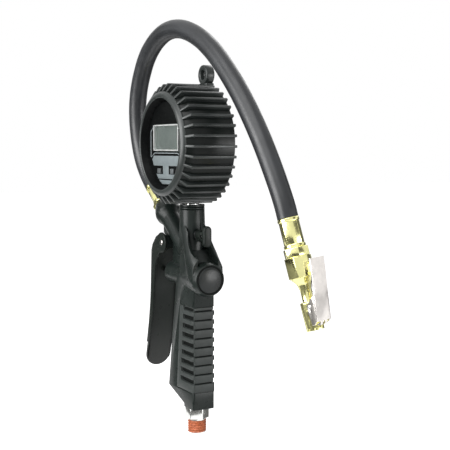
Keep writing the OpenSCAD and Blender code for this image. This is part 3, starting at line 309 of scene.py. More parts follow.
# %% Hose
HOSE_DIAMETER = 13.5 * MM
HOSE_ROUTE = [
    (-71, 0, 175), (-75, 0, 178), (-81.5, -0.8, 185.5), (-87, -1.8, 195), (-90.5, -2.8, 206.5),
    (-91.8, -3.8, 218.5), (-91.3, -4.7, 230.5), (-89, -5.3, 242), (-84.7, -5.6, 253), (-79, -5.6, 263),
    (-71.3, -5.5, 272.8), (-61.5, -5.2, 280.6), (-49.8, -4.6, 286.6), (-36.8, -3.6, 290),
    (-23, -2.1, 290), (-9.6, -0.7, 286.8), (3.8, 0.7, 281.2), (16.4, 1.8, 273.8),
    (27.8, 2.8, 265.2), (38.2, 3.7, 255.8), (48, 4.6, 246), (57.2, 5.5, 235.6),
    (65.8, 6.4, 224.6), (73.7, 7.4, 213.4), (80.8, 8.4, 202.2), (87.2, 9.5, 190.8),
    (92.9, 10.7, 179.4), (97.4, 11.9, 168.8), (99.5, 12.9, 161.1)]
hose_points = [Vector(p) * MM for p in HOSE_ROUTE]

hose_curve = bpy.data.curves.new("hose_rubber_tube", "CURVE")
hose_curve.dimensions = "3D"
hose_curve.bevel_depth = HOSE_DIAMETER / 2
hose_curve.bevel_resolution = 12
hose_curve.resolution_u = 8
hose_curve.use_fill_caps = True
line = hose_curve.splines.new("BEZIER")
line.bezier_points.add(len(hose_points) - 1)
for knot, point in zip(line.bezier_points, hose_points):
    knot.co = point
    knot.handle_left_type = knot.handle_right_type = "AUTO"
hose_curve.materials.append(FINISHES["hose_rubber"])
hose = bpy.data.objects.new("hose_tube", hose_curve)
bpy.context.scene.collection.objects.link(hose)
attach(hose, "inflator")
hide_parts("hose")

# %% [markdown]
# ## Table and room
# The tool is held up above a plain pale table in a white room. The camera and the mirrors see the room
# at a strength of one, which is white, while what lights the tool is dimmer. The table is lifted
# towards white in the same way, fully for the camera and a little for the mirrors.

# %% Table
TABLE_DROP, TABLE_SIDE = 0.12, 12
CAMERA_LIFT, MIRROR_LIFT = 0.6, 0.14
bpy.ops.object.select_all(action="DESELECT")
bpy.ops.mesh.primitive_plane_add(size=TABLE_SIDE, location=(0, 0, -TABLE_DROP))
table = bpy.context.object
table.name = "table"
table_paint, table_tree, table_shader = new_material("table_white", (0.88, 0.88, 0.88), 0.8)
vary(table_tree, noise(table_tree, 40), table_shader.inputs["Roughness"], 0.78, 0.84)
table_eye = table_tree.nodes.new("ShaderNodeLightPath")
table_lift = table_tree.nodes.new("ShaderNodeMapRange")
table_lift.inputs["To Max"].default_value = CAMERA_LIFT
table_tree.links.new(table_eye.outputs["Is Camera Ray"], table_lift.inputs["Value"])
mirror_lift = table_tree.nodes.new("ShaderNodeMath")
mirror_lift.operation = "MULTIPLY_ADD"
mirror_lift.inputs[1].default_value = MIRROR_LIFT
table_tree.links.new(table_eye.outputs["Is Glossy Ray"], mirror_lift.inputs[0])
table_tree.links.new(table_lift.outputs["Result"], mirror_lift.inputs[2])
table_shader.inputs["Emission Color"].default_value = (1, 1, 1, 1)
table_tree.links.new(mirror_lift.outputs["Value"], table_shader.inputs["Emission Strength"])
table.data.materials.append(table_paint)
print("table", TABLE_SIDE, "m wide,", TABLE_DROP, "m below the inlet")

# %% Room
ROOM_LIGHT, ROOM_SEEN = 0.55, 1.0
world = bpy.data.worlds.new("studio")
bpy.context.scene.world = world
world.use_nodes = True
sky = world.node_tree
background = sky.nodes["Background"]
background.inputs["Color"].default_value = (1, 1, 1, 1)
rays = sky.nodes.new("ShaderNodeLightPath")
camera_or_glossy = sky.nodes.new("ShaderNodeMath")
camera_or_glossy.operation = "MAXIMUM"
sky.links.new(rays.outputs["Is Camera Ray"], camera_or_glossy.inputs[0])
sky.links.new(rays.outputs["Is Glossy Ray"], camera_or_glossy.inputs[1])
seen = sky.nodes.new("ShaderNodeMath")
seen.operation = "MAXIMUM"
sky.links.new(camera_or_glossy.outputs["Value"], seen.inputs[0])
sky.links.new(rays.outputs["Is Transmission Ray"], seen.inputs[1])
level = sky.nodes.new("ShaderNodeMapRange")
level.inputs["To Min"].default_value = ROOM_LIGHT
level.inputs["To Max"].default_value = ROOM_SEEN
sky.links.new(seen.outputs["Value"], level.inputs["Value"])
sky.links.new(level.outputs["Result"], background.inputs["Strength"])
bpy.context.scene.view_settings.view_transform = "Standard"
print("room light", ROOM_LIGHT)

# %% [markdown]
# ## Lamps
# A large soft lamp on the left does most of the work, one above lifts the upper edges, a low one fills
# from the right, and one behind draws a thin line of light along the dark edges. All are wide for their
# distance, so that their reflections on rubber have no hard border.

# %% Lamps
def soft_lamp(name, place, target, size, power):
    """A rectangular area lamp that looks at a point; places and sizes in metres, power in watts."""
    data = bpy.data.lights.new(name, "AREA")
    data.shape = "RECTANGLE"
    data.size, data.size_y = size
    data.energy = power
    lamp = bpy.data.objects.new(name, data)
    lamp.location = place
    lamp.rotation_euler = (Vector(target) - Vector(place)).to_track_quat("-Z", "Y").to_euler()
    bpy.context.scene.collection.objects.link(lamp)
    return lamp


key_lamp = soft_lamp("key_lamp", (-0.05, -1.15, 0.38), (0, 0, 0.15), (0.85, 0.95), 21)
top_lamp = soft_lamp("top_lamp", (0.4, -0.6, 1.2), (0, 0, 0.2), (1.1, 1.0), 11)
fill_lamp = soft_lamp("fill_lamp", (1.1, 0.62, 0.15), (0, 0, 0.17), (0.6, 0.4), 6)
rim_lamp = soft_lamp("rim_lamp", (-0.7, 0.9, 0.9), (0, 0, 0.15), (0.5, 0.8), 3)
print("lamps, W:", [lamp.data.energy for lamp in (key_lamp, top_lamp, fill_lamp, rim_lamp)])

# %% [markdown]
# ## Dark cards
# Bright metal in an all-white room looks like paper. Product photographers stand dark cards just out
# of sight, and the metal mirrors them as dark bands. Here three cards lie on the table and five stand
# round the tool. Only reflections can see them, so they cast no shadow and take no light from the tool.

# %% Card helpers
CARD_FOOT, CARD_TOP = -0.11, 0.9
CARD_TONES = {"card_dark": (0.10, 0.10, 0.095), "card_black": (0.012, 0.012, 0.012)}
for card_name, card_tone in CARD_TONES.items():
    card_tree, card_shader = new_material(card_name, card_tone, 0.9)[1:]
    vary(card_tree, noise(card_tree, 8), card_shader.inputs["Roughness"], 0.85, 0.95)


def lying(west, south, east, north):
    """The corners of a card that lies just above the table."""
    outline = ((west, south), (east, south), (east, north), (west, north))
    return [(x, y, CARD_FOOT) for x, y in outline]


def standing(start, end, foot=CARD_FOOT, top=CARD_TOP):
    """The corners of an upright card over two points of the table."""
    return [(*start, foot), (*end, foot), (*end, top), (*start, top)]


def dark_card(name, corners, paint):
    """A dark sheet that only shows in reflections."""
    data = bpy.data.meshes.new(name)
    data.from_pydata(corners, [], [(0, 1, 2, 3)])
    card = bpy.data.objects.new(name, data)
    bpy.context.scene.collection.objects.link(card)
    card.data.materials.append(FINISHES[paint])
    card.visible_camera = False
    card.visible_diffuse = False
    card.visible_transmission = False
    card.visible_shadow = False


print("card tones", list(CARD_TONES))

# %% Cards
BEHIND = [(x, y, CARD_FOOT) for x, y in ((-4, 0.2), (0.05, 0.2), (0.7, 3), (-4, 3))]
CARDS = [
    ("floor_card", lying(-3, -1.02, 3, -0.22), "card_dark"),
    ("far_card", lying(-3, -4, 3, -1.02), "card_black"),
    ("back_card", BEHIND, "card_dark"),
    ("front_card", standing((-2.0, -0.9), (-0.15, -1.3), top=0.16), "card_black"),
    ("right_flag", standing((0.25, 1.17), (-0.53, 1.08)), "card_dark"),
    ("high_card", standing((1.22, 0.36), (0.86, 0.90), foot=0.42), "card_dark"),
    ("left_flag", standing((-0.98, -0.69), (-1.19, -0.15)), "card_dark"),
    ("camera_card", standing((0.86, -0.78), (1.14, -0.28), top=0.12), "card_dark")]
for card_name, corners, paint in CARDS:
    dark_card(card_name, corners, paint)
print("cards", len(CARDS))

# %% [markdown]
# ## Rounded edges
# A solid straight from construction has edges of no width, and the eye takes them for cardboard. Real
# mouldings and turned parts have a small radius everywhere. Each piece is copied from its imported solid,
# its loose triangles are merged, its flat faces are made whole again, and a bevel rounds what is sharp.
# Where a form has very short edges, as where two round parts meet, those are closed up first, because a
# bevel that must not overlap anywhere is only as wide as the shortest edge allows.

# %% Rounding helper
WELD, FLAT_ANGLE = 0.004 * MM, 0.6


def rounded_copy(node, name, radius, merge=0.05, whole=True, segments=3, sharp=30):
    """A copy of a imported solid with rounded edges; edges shorter than merge, in mm, are closed up."""
    bpy.ops.object.select_all(action="DESELECT")
    source = frame["nodes"][node]
    piece = bpy.data.objects.new(name, source.data.copy())
    bpy.context.scene.collection.objects.link(piece)
    piece.data.materials.clear()
    bpy.context.view_layer.objects.active = piece
    piece.select_set(True)
    bpy.ops.object.mode_set(mode="EDIT")
    bpy.ops.mesh.select_all(action="SELECT")
    bpy.ops.mesh.remove_doubles(threshold=WELD)
    if whole:
        bpy.ops.mesh.dissolve_limited(angle_limit=math.radians(FLAT_ANGLE))
        bpy.ops.mesh.dissolve_degenerate(threshold=merge * MM)
    bpy.ops.object.mode_set(mode="OBJECT")
    if radius > 0:
        edge = piece.modifiers.new("edges", "BEVEL")
        edge.width = radius
        edge.segments = segments
        edge.limit_method = "ANGLE"
        edge.angle_limit = math.radians(sharp)
        edge.use_clamp_overlap = False
        edge.miter_outer = "MITER_ARC"
        bpy.ops.object.modifier_apply(modifier=edge.name)
    bpy.ops.object.shade_smooth_by_angle(angle=math.radians(32))
    return piece


def finish_piece(piece, body, finish, *nodes):
    """Gives a piece its finish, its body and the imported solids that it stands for."""
    piece.data.materials.clear()
    piece.data.materials.append(FINISHES[finish])
    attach(piece, body)
    if nodes:
        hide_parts(*nodes)
    return piece


# %% [markdown]
# ## Which piece gets which edge
# A soft moulding has a radius of half a millimetre or more, a turned part has a broken edge of a tenth
# or two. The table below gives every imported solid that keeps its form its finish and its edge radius,
# in millimetres.

# %% Rounded pieces
BODIES = frame["record"]["behaviour"]["bodies"]
BODY_OF = {node: body for body, nodes in BODIES.items() for node in nodes}
ROUNDED = [
    ("grip_cover", "grip_rubber", 0.35), ("inlet_filter", "sintered_brass", 0.1),
    ("inlet_seal", "seal_rubber", 0), ("valve_seat", "brass", 0.2), ("valve_stem", "plated_steel", 0.2),
    ("stem_bush", "brass", 0.2), ("stem_seal", "seal_rubber", 0), ("valve_cap", "cap_plastic", 0.2),
    ("cap_seal", "seal_rubber", 0.15), ("lever", "lever_plastic", 0.7),
    ("lever_pin", "clip_nickel", 0.9), ("pin_clip", "spring_steel", 0.15),
    ("deflate_button", "lever_plastic", 1.2), ("deflate_stem", "plated_steel", 0.2),
    ("deflate_bush", "cap_plastic", 0.2), ("gauge_stem", "plated_steel", 0.2),
    ("gauge_stem_seal", "seal_rubber", 0), ("gauge_case", "body_plastic", 0.3),
    ("gauge_bezel", "dial_black", 0.2), ("dial_plate", "dial_black", 0.1),
    ("display_panel", "display_grey", 0.1), ("face_label", "label_grey", 0.05),
    ("left_dial_button", "button_grey", 0.3), ("right_dial_button", "button_grey", 0.3),
    ("dial_switches", "dial_black", 0.2), ("circuit_board", "board_green", 0.1),
    ("pressure_sensor", "plated_steel", 0.3), ("batteries", "battery_wrap", 0.4),
    ("battery_contacts", "spring_steel", 0.2), ("battery_door", "body_plastic", 0.3),
    ("hose_nipple", "brass", 0.4), ("chuck_nipple", "brass", 0.4), ("chuck_body", "brass", 0.3),
    ("chuck_seal", "seal_rubber", 0.2), ("core_pin", "brass", 0.1),
    ("clip_lever", "clip_nickel", 0.15), ("clip_pin", "spring_steel", 0.2)]
BODY_EDGE, BODY_MERGE, FINE_EDGE = 0.32, 0.2, 0.12
for node, finish, radius in ROUNDED:
    piece = rounded_copy(node, node + "_piece", radius * MM)
    finish_piece(piece, BODY_OF[node], finish, node)
gun_body = rounded_copy("gun_body", "gun_body_piece", BODY_EDGE * MM, BODY_MERGE)
finish_piece(gun_body, "inflator", "body_plastic", "gun_body")
for node, finish in (("display_frame", "frame_silver"), ("battery_tray", "body_plastic")):
    piece = rounded_copy(node, node + "_piece", FINE_EDGE * MM, whole=False)
    finish_piece(piece, BODY_OF[node], finish, node)
print("rounded pieces", len(ROUNDED) + 3)

# %% [markdown]
# ## Turned forms
# A lathe part is a row of rings, each with its own radius and height. Starting from one circle and
# extruding ring after ring along Z follows how such a part is turned. With eight sides instead of many,
# the same helper makes the flats that a crimping die leaves. The form is made on Z and then set on its
# own axis, by moving the mesh and not the object. Three more helpers serve all the new pieces: one
# gives a turn in degrees, one rounds sharp edges with a bevel, and one cuts one form out of another.

# %% Turn, edge and hole helpers
def rotation(degrees, axis):
    """A turn about one of the main axes."""
    return Matrix.Rotation(math.radians(degrees), 4, axis)


def soften(piece, radius, sharp=30):
    """Rounds a piece's sharp edges by a radius in millimetres."""
    edge = piece.modifiers.new("edges", "BEVEL")
    edge.width = radius * MM
    edge.segments = 3
    edge.limit_method = "ANGLE"
    edge.angle_limit = math.radians(sharp)
    edge.use_clamp_overlap = False
    bpy.ops.object.modifier_apply(modifier=edge.name)


def cut_away(piece, cutter):
    """Takes the cutter's space out of the piece, and deletes the cutter."""
    bpy.ops.object.select_all(action="DESELECT")
    bpy.context.view_layer.objects.active = piece
    piece.select_set(True)
    hole = piece.modifiers.new("hole", "BOOLEAN")
    hole.operation = "DIFFERENCE"
    hole.solver = "EXACT"
    hole.object = cutter
    bpy.ops.object.modifier_apply(modifier=hole.name)
    bpy.data.objects.remove(cutter)


# %% Lathe helper
LATHE_SIDES = 64


def lathe(name, rings, place, sides=LATHE_SIDES, closed=False, edge=0.0, smooth=35):
    """Joins rings of (radius, height) in millimetres, and sets the form in place by a matrix."""
    bpy.ops.object.select_all(action="DESELECT")
    bpy.ops.mesh.primitive_circle_add(vertices=sides, radius=rings[0][0] * MM, location=(0, 0, 0),
                                      fill_type="NOTHING" if closed else "NGON")
    turned = bpy.context.object
    turned.name = name
    bpy.ops.object.mode_set(mode="EDIT")
    bpy.ops.mesh.select_all(action="SELECT")
    bpy.ops.transform.translate(value=(0, 0, rings[0][1] * MM))
    for (r0, h0), (r1, h1) in zip(rings, rings[1:]):
        bpy.ops.mesh.extrude_region_move(TRANSFORM_OT_translate={"value": (0, 0, (h1 - h0) * MM)})
        bpy.ops.transform.resize(value=(r1 / r0, r1 / r0, 1), center_override=(0, 0, h1 * MM))
    bpy.ops.mesh.select_all(action="SELECT")
    bpy.ops.mesh.remove_doubles(threshold=0.002 * MM)
    bpy.ops.mesh.normals_make_consistent(inside=False)
    bpy.ops.object.mode_set(mode="OBJECT")
    if edge > 0:
        soften(turned, edge)
    turned.data.transform(place)
    bpy.ops.object.shade_smooth_by_angle(angle=math.radians(smooth))
    return turned


print("a turned form has", LATHE_SIDES, "sides unless it says otherwise")

# %% [markdown]
# ## Crimped ferrules
# Each end of the hose sits in a brass ferrule that a die has squeezed on. The die's jaws leave flats
# along the waist with a faint ridge between each two, and a round rim stays at each end. So the waist
# is an eight-sided form and the rims are turned ones.

# %% Ferrules
FERRULE_LEN, FERRULE_WAIST_R, FERRULE_RIM_R = 19.2, 6.6, 7.0
RIM_DEEP = 1.8
RIM = [(6.4, 0), (6.75, -0.3), (FERRULE_RIM_R, -0.7), (FERRULE_RIM_R, -1.9), (6.75, -2.3), (6.0, -2.6)]
FAR_RIM = [(r, -FERRULE_LEN - h) for r, h in reversed(RIM)]
WAIST = [(FERRULE_WAIST_R, -RIM_DEEP), (FERRULE_WAIST_R, RIM_DEEP - FERRULE_LEN)]
ON_GUN = Matrix.Translation(hose_points[0]) @ rotation(-53.13, "Y")
ON_CHUCK = (Matrix.Translation(hose_points[-1]) @ rotation(25.463, "Z")
            @ rotation(-16.808, "Y") @ rotation(-10, "Z"))
for node, place in (("gun_ferrule", ON_GUN), ("chuck_ferrule", ON_CHUCK)):
    near_rim = lathe(node + "_rim", RIM, place, smooth=30)
    finish_piece(near_rim, "inflator", "brass", node)
    far_rim = lathe(node + "_base", FAR_RIM, place, smooth=30)
    finish_piece(far_rim, "inflator", "brass", node)
    waist = lathe(node + "_piece", WAIST, place, sides=8, edge=0.35)
    finish_piece(waist, "inflator", "brass", node)
print("ferrules", FERRULE_LEN, "mm long")

# %% [markdown]
# ## The inlet fitting
# The steel fitting that screws into the grip is a hexagon on a turned sleeve. The lathe helper makes
# both: the sleeve with many sides, the hexagon with six, turned so that its corners match the packed
# solid's. The edges of the hexagon are rounded more than usual, because a nut's edges are what glint.

# %% Inlet fitting
FITTING_BORE_R, HEX_R, HEX_LOW, HEX_HIGH = 3.2, 8.66, 11, 19
SLEEVE = [(FITTING_BORE_R, 8.6), (5.9, 8.6), (5.9, 11.3), (5.4, 11.5), (5.4, 30), (FITTING_BORE_R, 30),
          (FITTING_BORE_R, 8.6)]
HEXAGON = [(FITTING_BORE_R, HEX_LOW), (HEX_R, HEX_LOW), (HEX_R, HEX_HIGH), (FITTING_BORE_R, HEX_HIGH),
           (FITTING_BORE_R, HEX_LOW)]
sleeve_steel = lathe("inlet_fitting_piece", SLEEVE, Matrix(), closed=True)
finish_piece(sleeve_steel, "inflator", "plated_steel", "inlet_fitting")
hexagon = lathe("inlet_hexagon", HEXAGON, rotation(30, "Z"), sides=6, closed=True, edge=0.45)
finish_piece(hexagon, "inflator", "plated_steel", "inlet_fitting")
print("inlet hexagon", round(2 * HEX_R * math.cos(math.radians(30)), 2), "mm across flats")

# %% [markdown]
# ## Dark gaps
# The grooves of the grip's cover, the open line in front of it and the ring round the valve's cap are
# narrow and deep, so hardly any light comes back from them. A dull black core fills each to just above
# its floor: painted shade, which stands in for the dark there. The grip's core is a block that is cut to
# the cover's leaning front edge, and the ring is turned. A block is a common start, so it gets a helper,
# and so does the cut.

# %% Block helper
def block(name, size, centre):
    """A plain block to start a form from; its size and centre are in millimetres."""
    bpy.ops.object.select_all(action="DESELECT")
    bpy.ops.mesh.primitive_cube_add(size=1, location=(0, 0, 0))
    made = bpy.context.object
    made.name = name
    bpy.ops.object.mode_set(mode="EDIT")
    bpy.ops.mesh.select_all(action="SELECT")
    bpy.ops.transform.resize(value=[v * MM for v in size], center_override=(0, 0, 0))
    bpy.ops.transform.translate(value=[v * MM for v in centre])
    bpy.ops.object.mode_set(mode="OBJECT")
    return made


def slice_off(point, outward):
    """In edit mode, cuts away all that lies beyond a plane, and closes the cut."""
    bpy.ops.mesh.select_all(action="SELECT")
    bpy.ops.mesh.bisect(plane_co=[v * MM for v in point], plane_no=outward, use_fill=True,
                        clear_outer=True)


print("block and slice helpers are ready")

# %% Grip core, painted shade
SHADE_FRONT, SHADE_BACK, SHADE_HALF, SHADE_LOW, SHADE_HIGH = -20, 9.85, 7.35, 30.9, 92.4
# The grip's dark core is painted shade: it shows in the cover's grooves and the open line in front of it.
core = block("grip_gap_shade", (SHADE_BACK - SHADE_FRONT, 2 * SHADE_HALF, SHADE_HIGH - SHADE_LOW),
             ((SHADE_BACK + SHADE_FRONT) / 2, 0, (SHADE_HIGH + SHADE_LOW) / 2))
bpy.ops.object.mode_set(mode="EDIT")
slice_off((-15.3, 0, 31.5), (-0.996, 0, 0.088))
bpy.ops.object.mode_set(mode="OBJECT")
soften(core, 0.9)
bpy.ops.object.shade_smooth_by_angle(angle=math.radians(35))
finish_piece(core, "inflator", "gap_painted_shade")
print("core box", [round(v, 4) for v in core.dimensions])

# %% Cap ring
CAP_FACE = Matrix.Translation(Vector((20.6, 0, 113)) * MM) @ rotation(90, "Y")
RING = [(9.05, -0.7), (10.25, -0.7), (10.25, -0.15), (9.05, -0.15), (9.05, -0.7)]
# The cap ring is painted shade in the narrow gap round the valve's cap.
cap_ring = lathe("cap_ring", RING, CAP_FACE, sides=96, closed=True)
finish_piece(cap_ring, "inflator", "gap_painted_shade")
print("cap ring faces", len(cap_ring.data.polygons))

# %% [markdown]
# ## The rubber boot
# The gauge wears a thick moulded sleeve with a rounded lip in front, deep ribs all round and a ring on
# top to hang it by. The sleeve and the lip are turned. The ribs' crests are a little shiny; the sleeve
# between them is duller, and painted much darker than the ribs: painted shade for the deep gaps, where
# little light falls.

# %% Boot sleeve and lip
GAUGE_CENTRE = Vector((-7, 0, 207.5)) * MM
ON_GAUGE = Matrix.Translation(GAUGE_CENTRE) @ rotation(-90, "X")
BOOT_R, BOOT_FLOOR_R, BOOT_INSIDE_R = 42.3, 39.6, 36.65
SLEEVE_RINGS = [
    (36.2, -23.4), (37.4, -21.5), (BOOT_FLOOR_R, -17), (BOOT_FLOOR_R, 13), (35.6, 15), (32.6, 15),
    (32.6, 12), (BOOT_INSIDE_R, 12), (BOOT_INSIDE_R, -20), (33.5, -20), (33.5, -23.0), (36.2, -23.4)]
LIP_RINGS = [
    (32.0, -25.6), (32.5, -26.1), (33.6, -26.1), (34.6, -25.7), (36.0, -24.7), (36.6, -23.9),
    (36.8, -23.0), (36.2, -22.0), (32.4, -22.0), (31.9, -24.8), (32.0, -25.6)]
sleeve = lathe("boot_sleeve", SLEEVE_RINGS, ON_GAUGE, sides=144, closed=True)
lip = lathe("boot_lip", LIP_RINGS, ON_GAUGE, sides=144, closed=True, smooth=60)
finish_piece(lip, "inflator", "boot_rubber", "gauge_boot")
print("boot", 2 * BOOT_R, "mm over its ribs")

# %% [markdown]
# ## One rib, then thirty-six
# A rib is a block whose crest is drawn in to a ridge. Its front end is cut on a slope, so that the boot
# looks rounded from the side, and its back end is cut square. Spin then sets copies round the gauge.

# %% Boot ribs
RIB_COUNT, RIB_TURN = 36, -2.4
RIB_DEEP, RIB_LEN, RIB_MIDDLE = 5.6, 39, -4.5
RIB_FOOT_WIDTH, RIB_CREST_WIDTH = 4.9, 1.9
RIB_ENDS = (((BOOT_R, -19.8, 0), (0.607, -0.795, 0)), ((BOOT_R, 13.3, 0), (0, 1, 0)))
ribs = block("boot_ribs", (RIB_DEEP, RIB_LEN, RIB_FOOT_WIDTH), (BOOT_R - RIB_DEEP / 2, RIB_MIDDLE, 0))
for corner in ribs.data.vertices:
    corner.select = corner.co.x > BOOT_FLOOR_R * MM
bpy.ops.object.mode_set(mode="EDIT")
bpy.ops.transform.resize(value=(1, 1, RIB_CREST_WIDTH / RIB_FOOT_WIDTH), center_override=(0, 0, 0))
for point, outward in RIB_ENDS:
    slice_off(point, outward)
bpy.ops.object.mode_set(mode="OBJECT")
soften(ribs, 0.38)
bpy.ops.object.mode_set(mode="EDIT")
bpy.ops.mesh.select_all(action="SELECT")
bpy.ops.mesh.spin(steps=RIB_COUNT - 1, dupli=True, angle=2 * math.pi * (RIB_COUNT - 1) / RIB_COUNT,
                  center=(0, 0, 0), axis=(0, 1, 0))
bpy.ops.mesh.select_all(action="SELECT")
bpy.ops.mesh.normals_make_consistent(inside=False)
bpy.ops.object.mode_set(mode="OBJECT")
ribs.data.transform(Matrix.Translation(GAUGE_CENTRE) @ rotation(-RIB_TURN, "Y"))
bpy.ops.object.shade_smooth_by_angle(angle=math.radians(35))
print("boot ribs", RIB_COUNT, "faces", len(ribs.data.polygons))

# %% Room for the stem
STEM_R, STEM_LOW, STEM_HIGH = 5.6, -43.5, -34
# The sleeve gets the darker finish: painted shade for the gaps between the ribs.
for part, finish in ((sleeve, "boot_gap_painted_shade"), (ribs, "boot_rubber")):
    stem_hole = lathe("stem_hole", [(STEM_R, STEM_LOW), (STEM_R, STEM_HIGH)],
                      Matrix.Translation(GAUGE_CENTRE), sides=48)
    cut_away(part, stem_hole)
    finish_piece(part, "inflator", finish, "gauge_boot")
print("stem hole", 2 * STEM_R, "mm wide")

# %% [markdown]
# ## The hanging loop
# The ring on top of the boot is turned on the lathe like the rest, with rounded rims. A softened block
# below it is its root, which runs into the boot between two ribs.

# %% Hanging loop
LOOP_X, LOOP_Y, LOOP_Z, LOOP_HALF = -7, 11.7, 256.6, 3.2
LOOP_RINGS = [
    (3.5, -2.7), (4.0, -LOOP_HALF), (6.3, -LOOP_HALF), (6.8, -3.0), (7.0, -2.5), (7.0, 2.5), (6.8, 3.0),
    (6.3, LOOP_HALF), (4.0, LOOP_HALF), (3.5, 2.7), (3.5, -2.7)]
loop_place = Matrix.Translation(Vector((LOOP_X, LOOP_Y, LOOP_Z)) * MM) @ rotation(-90, "X")
loop = lathe("boot_loop", LOOP_RINGS, loop_place, closed=True, smooth=60)
finish_piece(loop, "inflator", "boot_rubber", "gauge_boot")
root = block("boot_loop_root", (12, 2 * LOOP_HALF, 8), (LOOP_X, LOOP_Y, 246.8))
soften(root, 0.9)
bpy.ops.object.shade_smooth_by_angle(angle=math.radians(35))
finish_piece(root, "inflator", "boot_rubber", "gauge_boot")
print("hanging loop", len(loop.data.polygons), "faces, root", len(root.data.polygons))

# %% [markdown]
# ## The printed line round the display
# A thin pale line frames the display and follows the label's shoulders. It is a poly curve with a small
# round section, half sunk in the dial, made a mesh before it is set in place.

# %% Dial line
DIAL_Y, LINE_R = -20.45, 0.26
half_line = [(20.6, 11.9), (24.8, 9.0), (24.8, -9.4), (18.6, -6.4)]
outline = half_line + [(-x, z) for x, z in reversed(half_line)]
line_curve = bpy.data.curves.new("dial_line_curve", "CURVE")
line_curve.dimensions = "3D"
line_curve.bevel_depth = LINE_R * MM
line_curve.bevel_resolution = 2
line_curve.use_fill_caps = True
print_line = line_curve.splines.new("POLY")
print_line.points.add(len(outline) - 1)
for knot, (x, z) in zip(print_line.points, outline):
    knot.co = (x * MM, DIAL_Y * MM, z * MM, 1)
dial_line = bpy.data.objects.new("dial_line", line_curve)
bpy.context.scene.collection.objects.link(dial_line)
bpy.ops.object.select_all(action="DESELECT")
bpy.context.view_layer.objects.active = dial_line
dial_line.select_set(True)
bpy.ops.object.convert(target="MESH")
dial_line = bpy.context.object
dial_line.data.transform(Matrix.Translation(GAUGE_CENTRE))
finish_piece(dial_line, "inflator", "label_line")
print("dial line", 2 * LINE_R, "mm thick")

# %% [markdown]
# ## Screws
# Four pan-head screws close the case and one holds the battery door. Each is a turned head on a short
# shank, and a cross is cut into it for the driver.

# %% Screw helper
def cross_screw(name, head_r, head_t, shank_r, shank_len, place):
    """A pan-head screw along Z with its head's foot at 0; sizes in millimetres."""
    profile = [(shank_r, -shank_len), (shank_r, 0.01), (head_r, 0.0), (head_r, 0.4 * head_t),
               (0.86 * head_r, 0.85 * head_t), (0.5 * head_r, head_t)]
    screw = lathe(name, profile, Matrix(), sides=40, smooth=50)
    slot_size = Matrix.Diagonal((1.3 * head_r * MM, 0.3 * head_r * MM, 1.2 * head_t * MM, 1))
    for angle in (0, 90):
        bpy.ops.object.select_all(action="DESELECT")
        bpy.ops.mesh.primitive_cube_add(size=1, location=(0, 0, 0))
        slot_cutter = bpy.context.object
        head_top = Matrix.Translation((0, 0, head_t * MM))
        slot_cutter.data.transform(rotation(angle, "Z") @ head_top @ slot_size)
        cut_away(screw, slot_cutter)
    screw.data.transform(place)
    return screw


# %% Screws
SCREW_CIRCLE_R, SCREW_DEPTH = 29.6, 12
for number, angle in enumerate((45, 135, 225, 315), 1):
    across, up = math.sin(math.radians(angle)), math.cos(math.radians(angle))
    spot = Vector((SCREW_CIRCLE_R * across, SCREW_DEPTH, SCREW_CIRCLE_R * up)) * MM
    place = Matrix.Translation(GAUGE_CENTRE + spot) @ rotation(-90, "X") @ rotation(20 * number, "Z")
    case_screw = cross_screw("case_screw_%d" % number, 2.4, 1.0, 1.2, 3.0, place)
    finish_piece(case_screw, "inflator", "plated_steel", "case_screws")
door_place = Matrix.Translation(Vector((19.5, 13.2, 207.5)) * MM) @ rotation(-90, "X")
door_screw = cross_screw("battery_door_screw", 2.2, 0.8, 1.0, 3.0, door_place)
finish_piece(door_screw, "inflator", "plated_steel", "door_screw")
print("screws", number + 1)

# %% [markdown]
# ## Springs
# A spring is one wire wound at a steady pitch. A small circle, swept by the Screw modifier round the
# axis, makes it in one go, and the wire's ends are then closed.

# %% Spring helper
def coil(name, node, start_x, end_x, height_z, outside_r, wire, turns, body):
    """A coil spring along X, in millimetres."""
    bpy.ops.object.select_all(action="DESELECT")
    bpy.ops.mesh.primitive_circle_add(vertices=8, radius=wire / 2 * MM, location=(0, 0, 0))
    spring = bpy.context.object
    spring.name = name
    bpy.ops.object.mode_set(mode="EDIT")
    bpy.ops.mesh.select_all(action="SELECT")
    bpy.ops.transform.rotate(value=math.pi / 2, orient_axis="X", center_override=(0, 0, 0))
    bpy.ops.transform.translate(value=((outside_r - wire / 2) * MM, 0, wire / 2 * MM))
    bpy.ops.object.mode_set(mode="OBJECT")
    sweep = spring.modifiers.new("turns", "SCREW")
    sweep.axis = "Z"
    sweep.steps = sweep.render_steps = 20
    sweep.iterations = turns
    sweep.screw_offset = (end_x - start_x - wire) / turns * MM
    sweep.use_normal_calculate = True
    bpy.ops.object.modifier_apply(modifier=sweep.name)
    bpy.ops.object.mode_set(mode="EDIT")
    bpy.ops.mesh.select_all(action="DESELECT")
    bpy.ops.mesh.select_mode(type="EDGE")
    bpy.ops.mesh.select_non_manifold()
    bpy.ops.mesh.edge_face_add()
    bpy.ops.mesh.select_all(action="SELECT")
    bpy.ops.mesh.normals_make_consistent(inside=False)
    bpy.ops.mesh.select_mode(type="VERT")
    bpy.ops.object.mode_set(mode="OBJECT")
    along_x = Matrix.Translation((start_x * MM, 0, height_z * MM)) @ rotation(90, "Y")
    spring.data.transform(along_x)
    bpy.ops.object.shade_smooth_by_angle(angle=math.radians(50))
    finish_piece(spring, body, "spring_steel", node)
    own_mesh(spring)
    print(name, "faces", len(spring.data.polygons))


# %% Springs
coil("valve_coil", "valve_spring", start_x=4.85, end_x=15.75, height_z=113, outside_r=3.3, wire=0.7,
     turns=6, body="inflator")
coil("button_coil", "deflate_spring", start_x=2.75, end_x=12.95, height_z=143, outside_r=2.9, wire=0.7,
     turns=6, body="inflator")

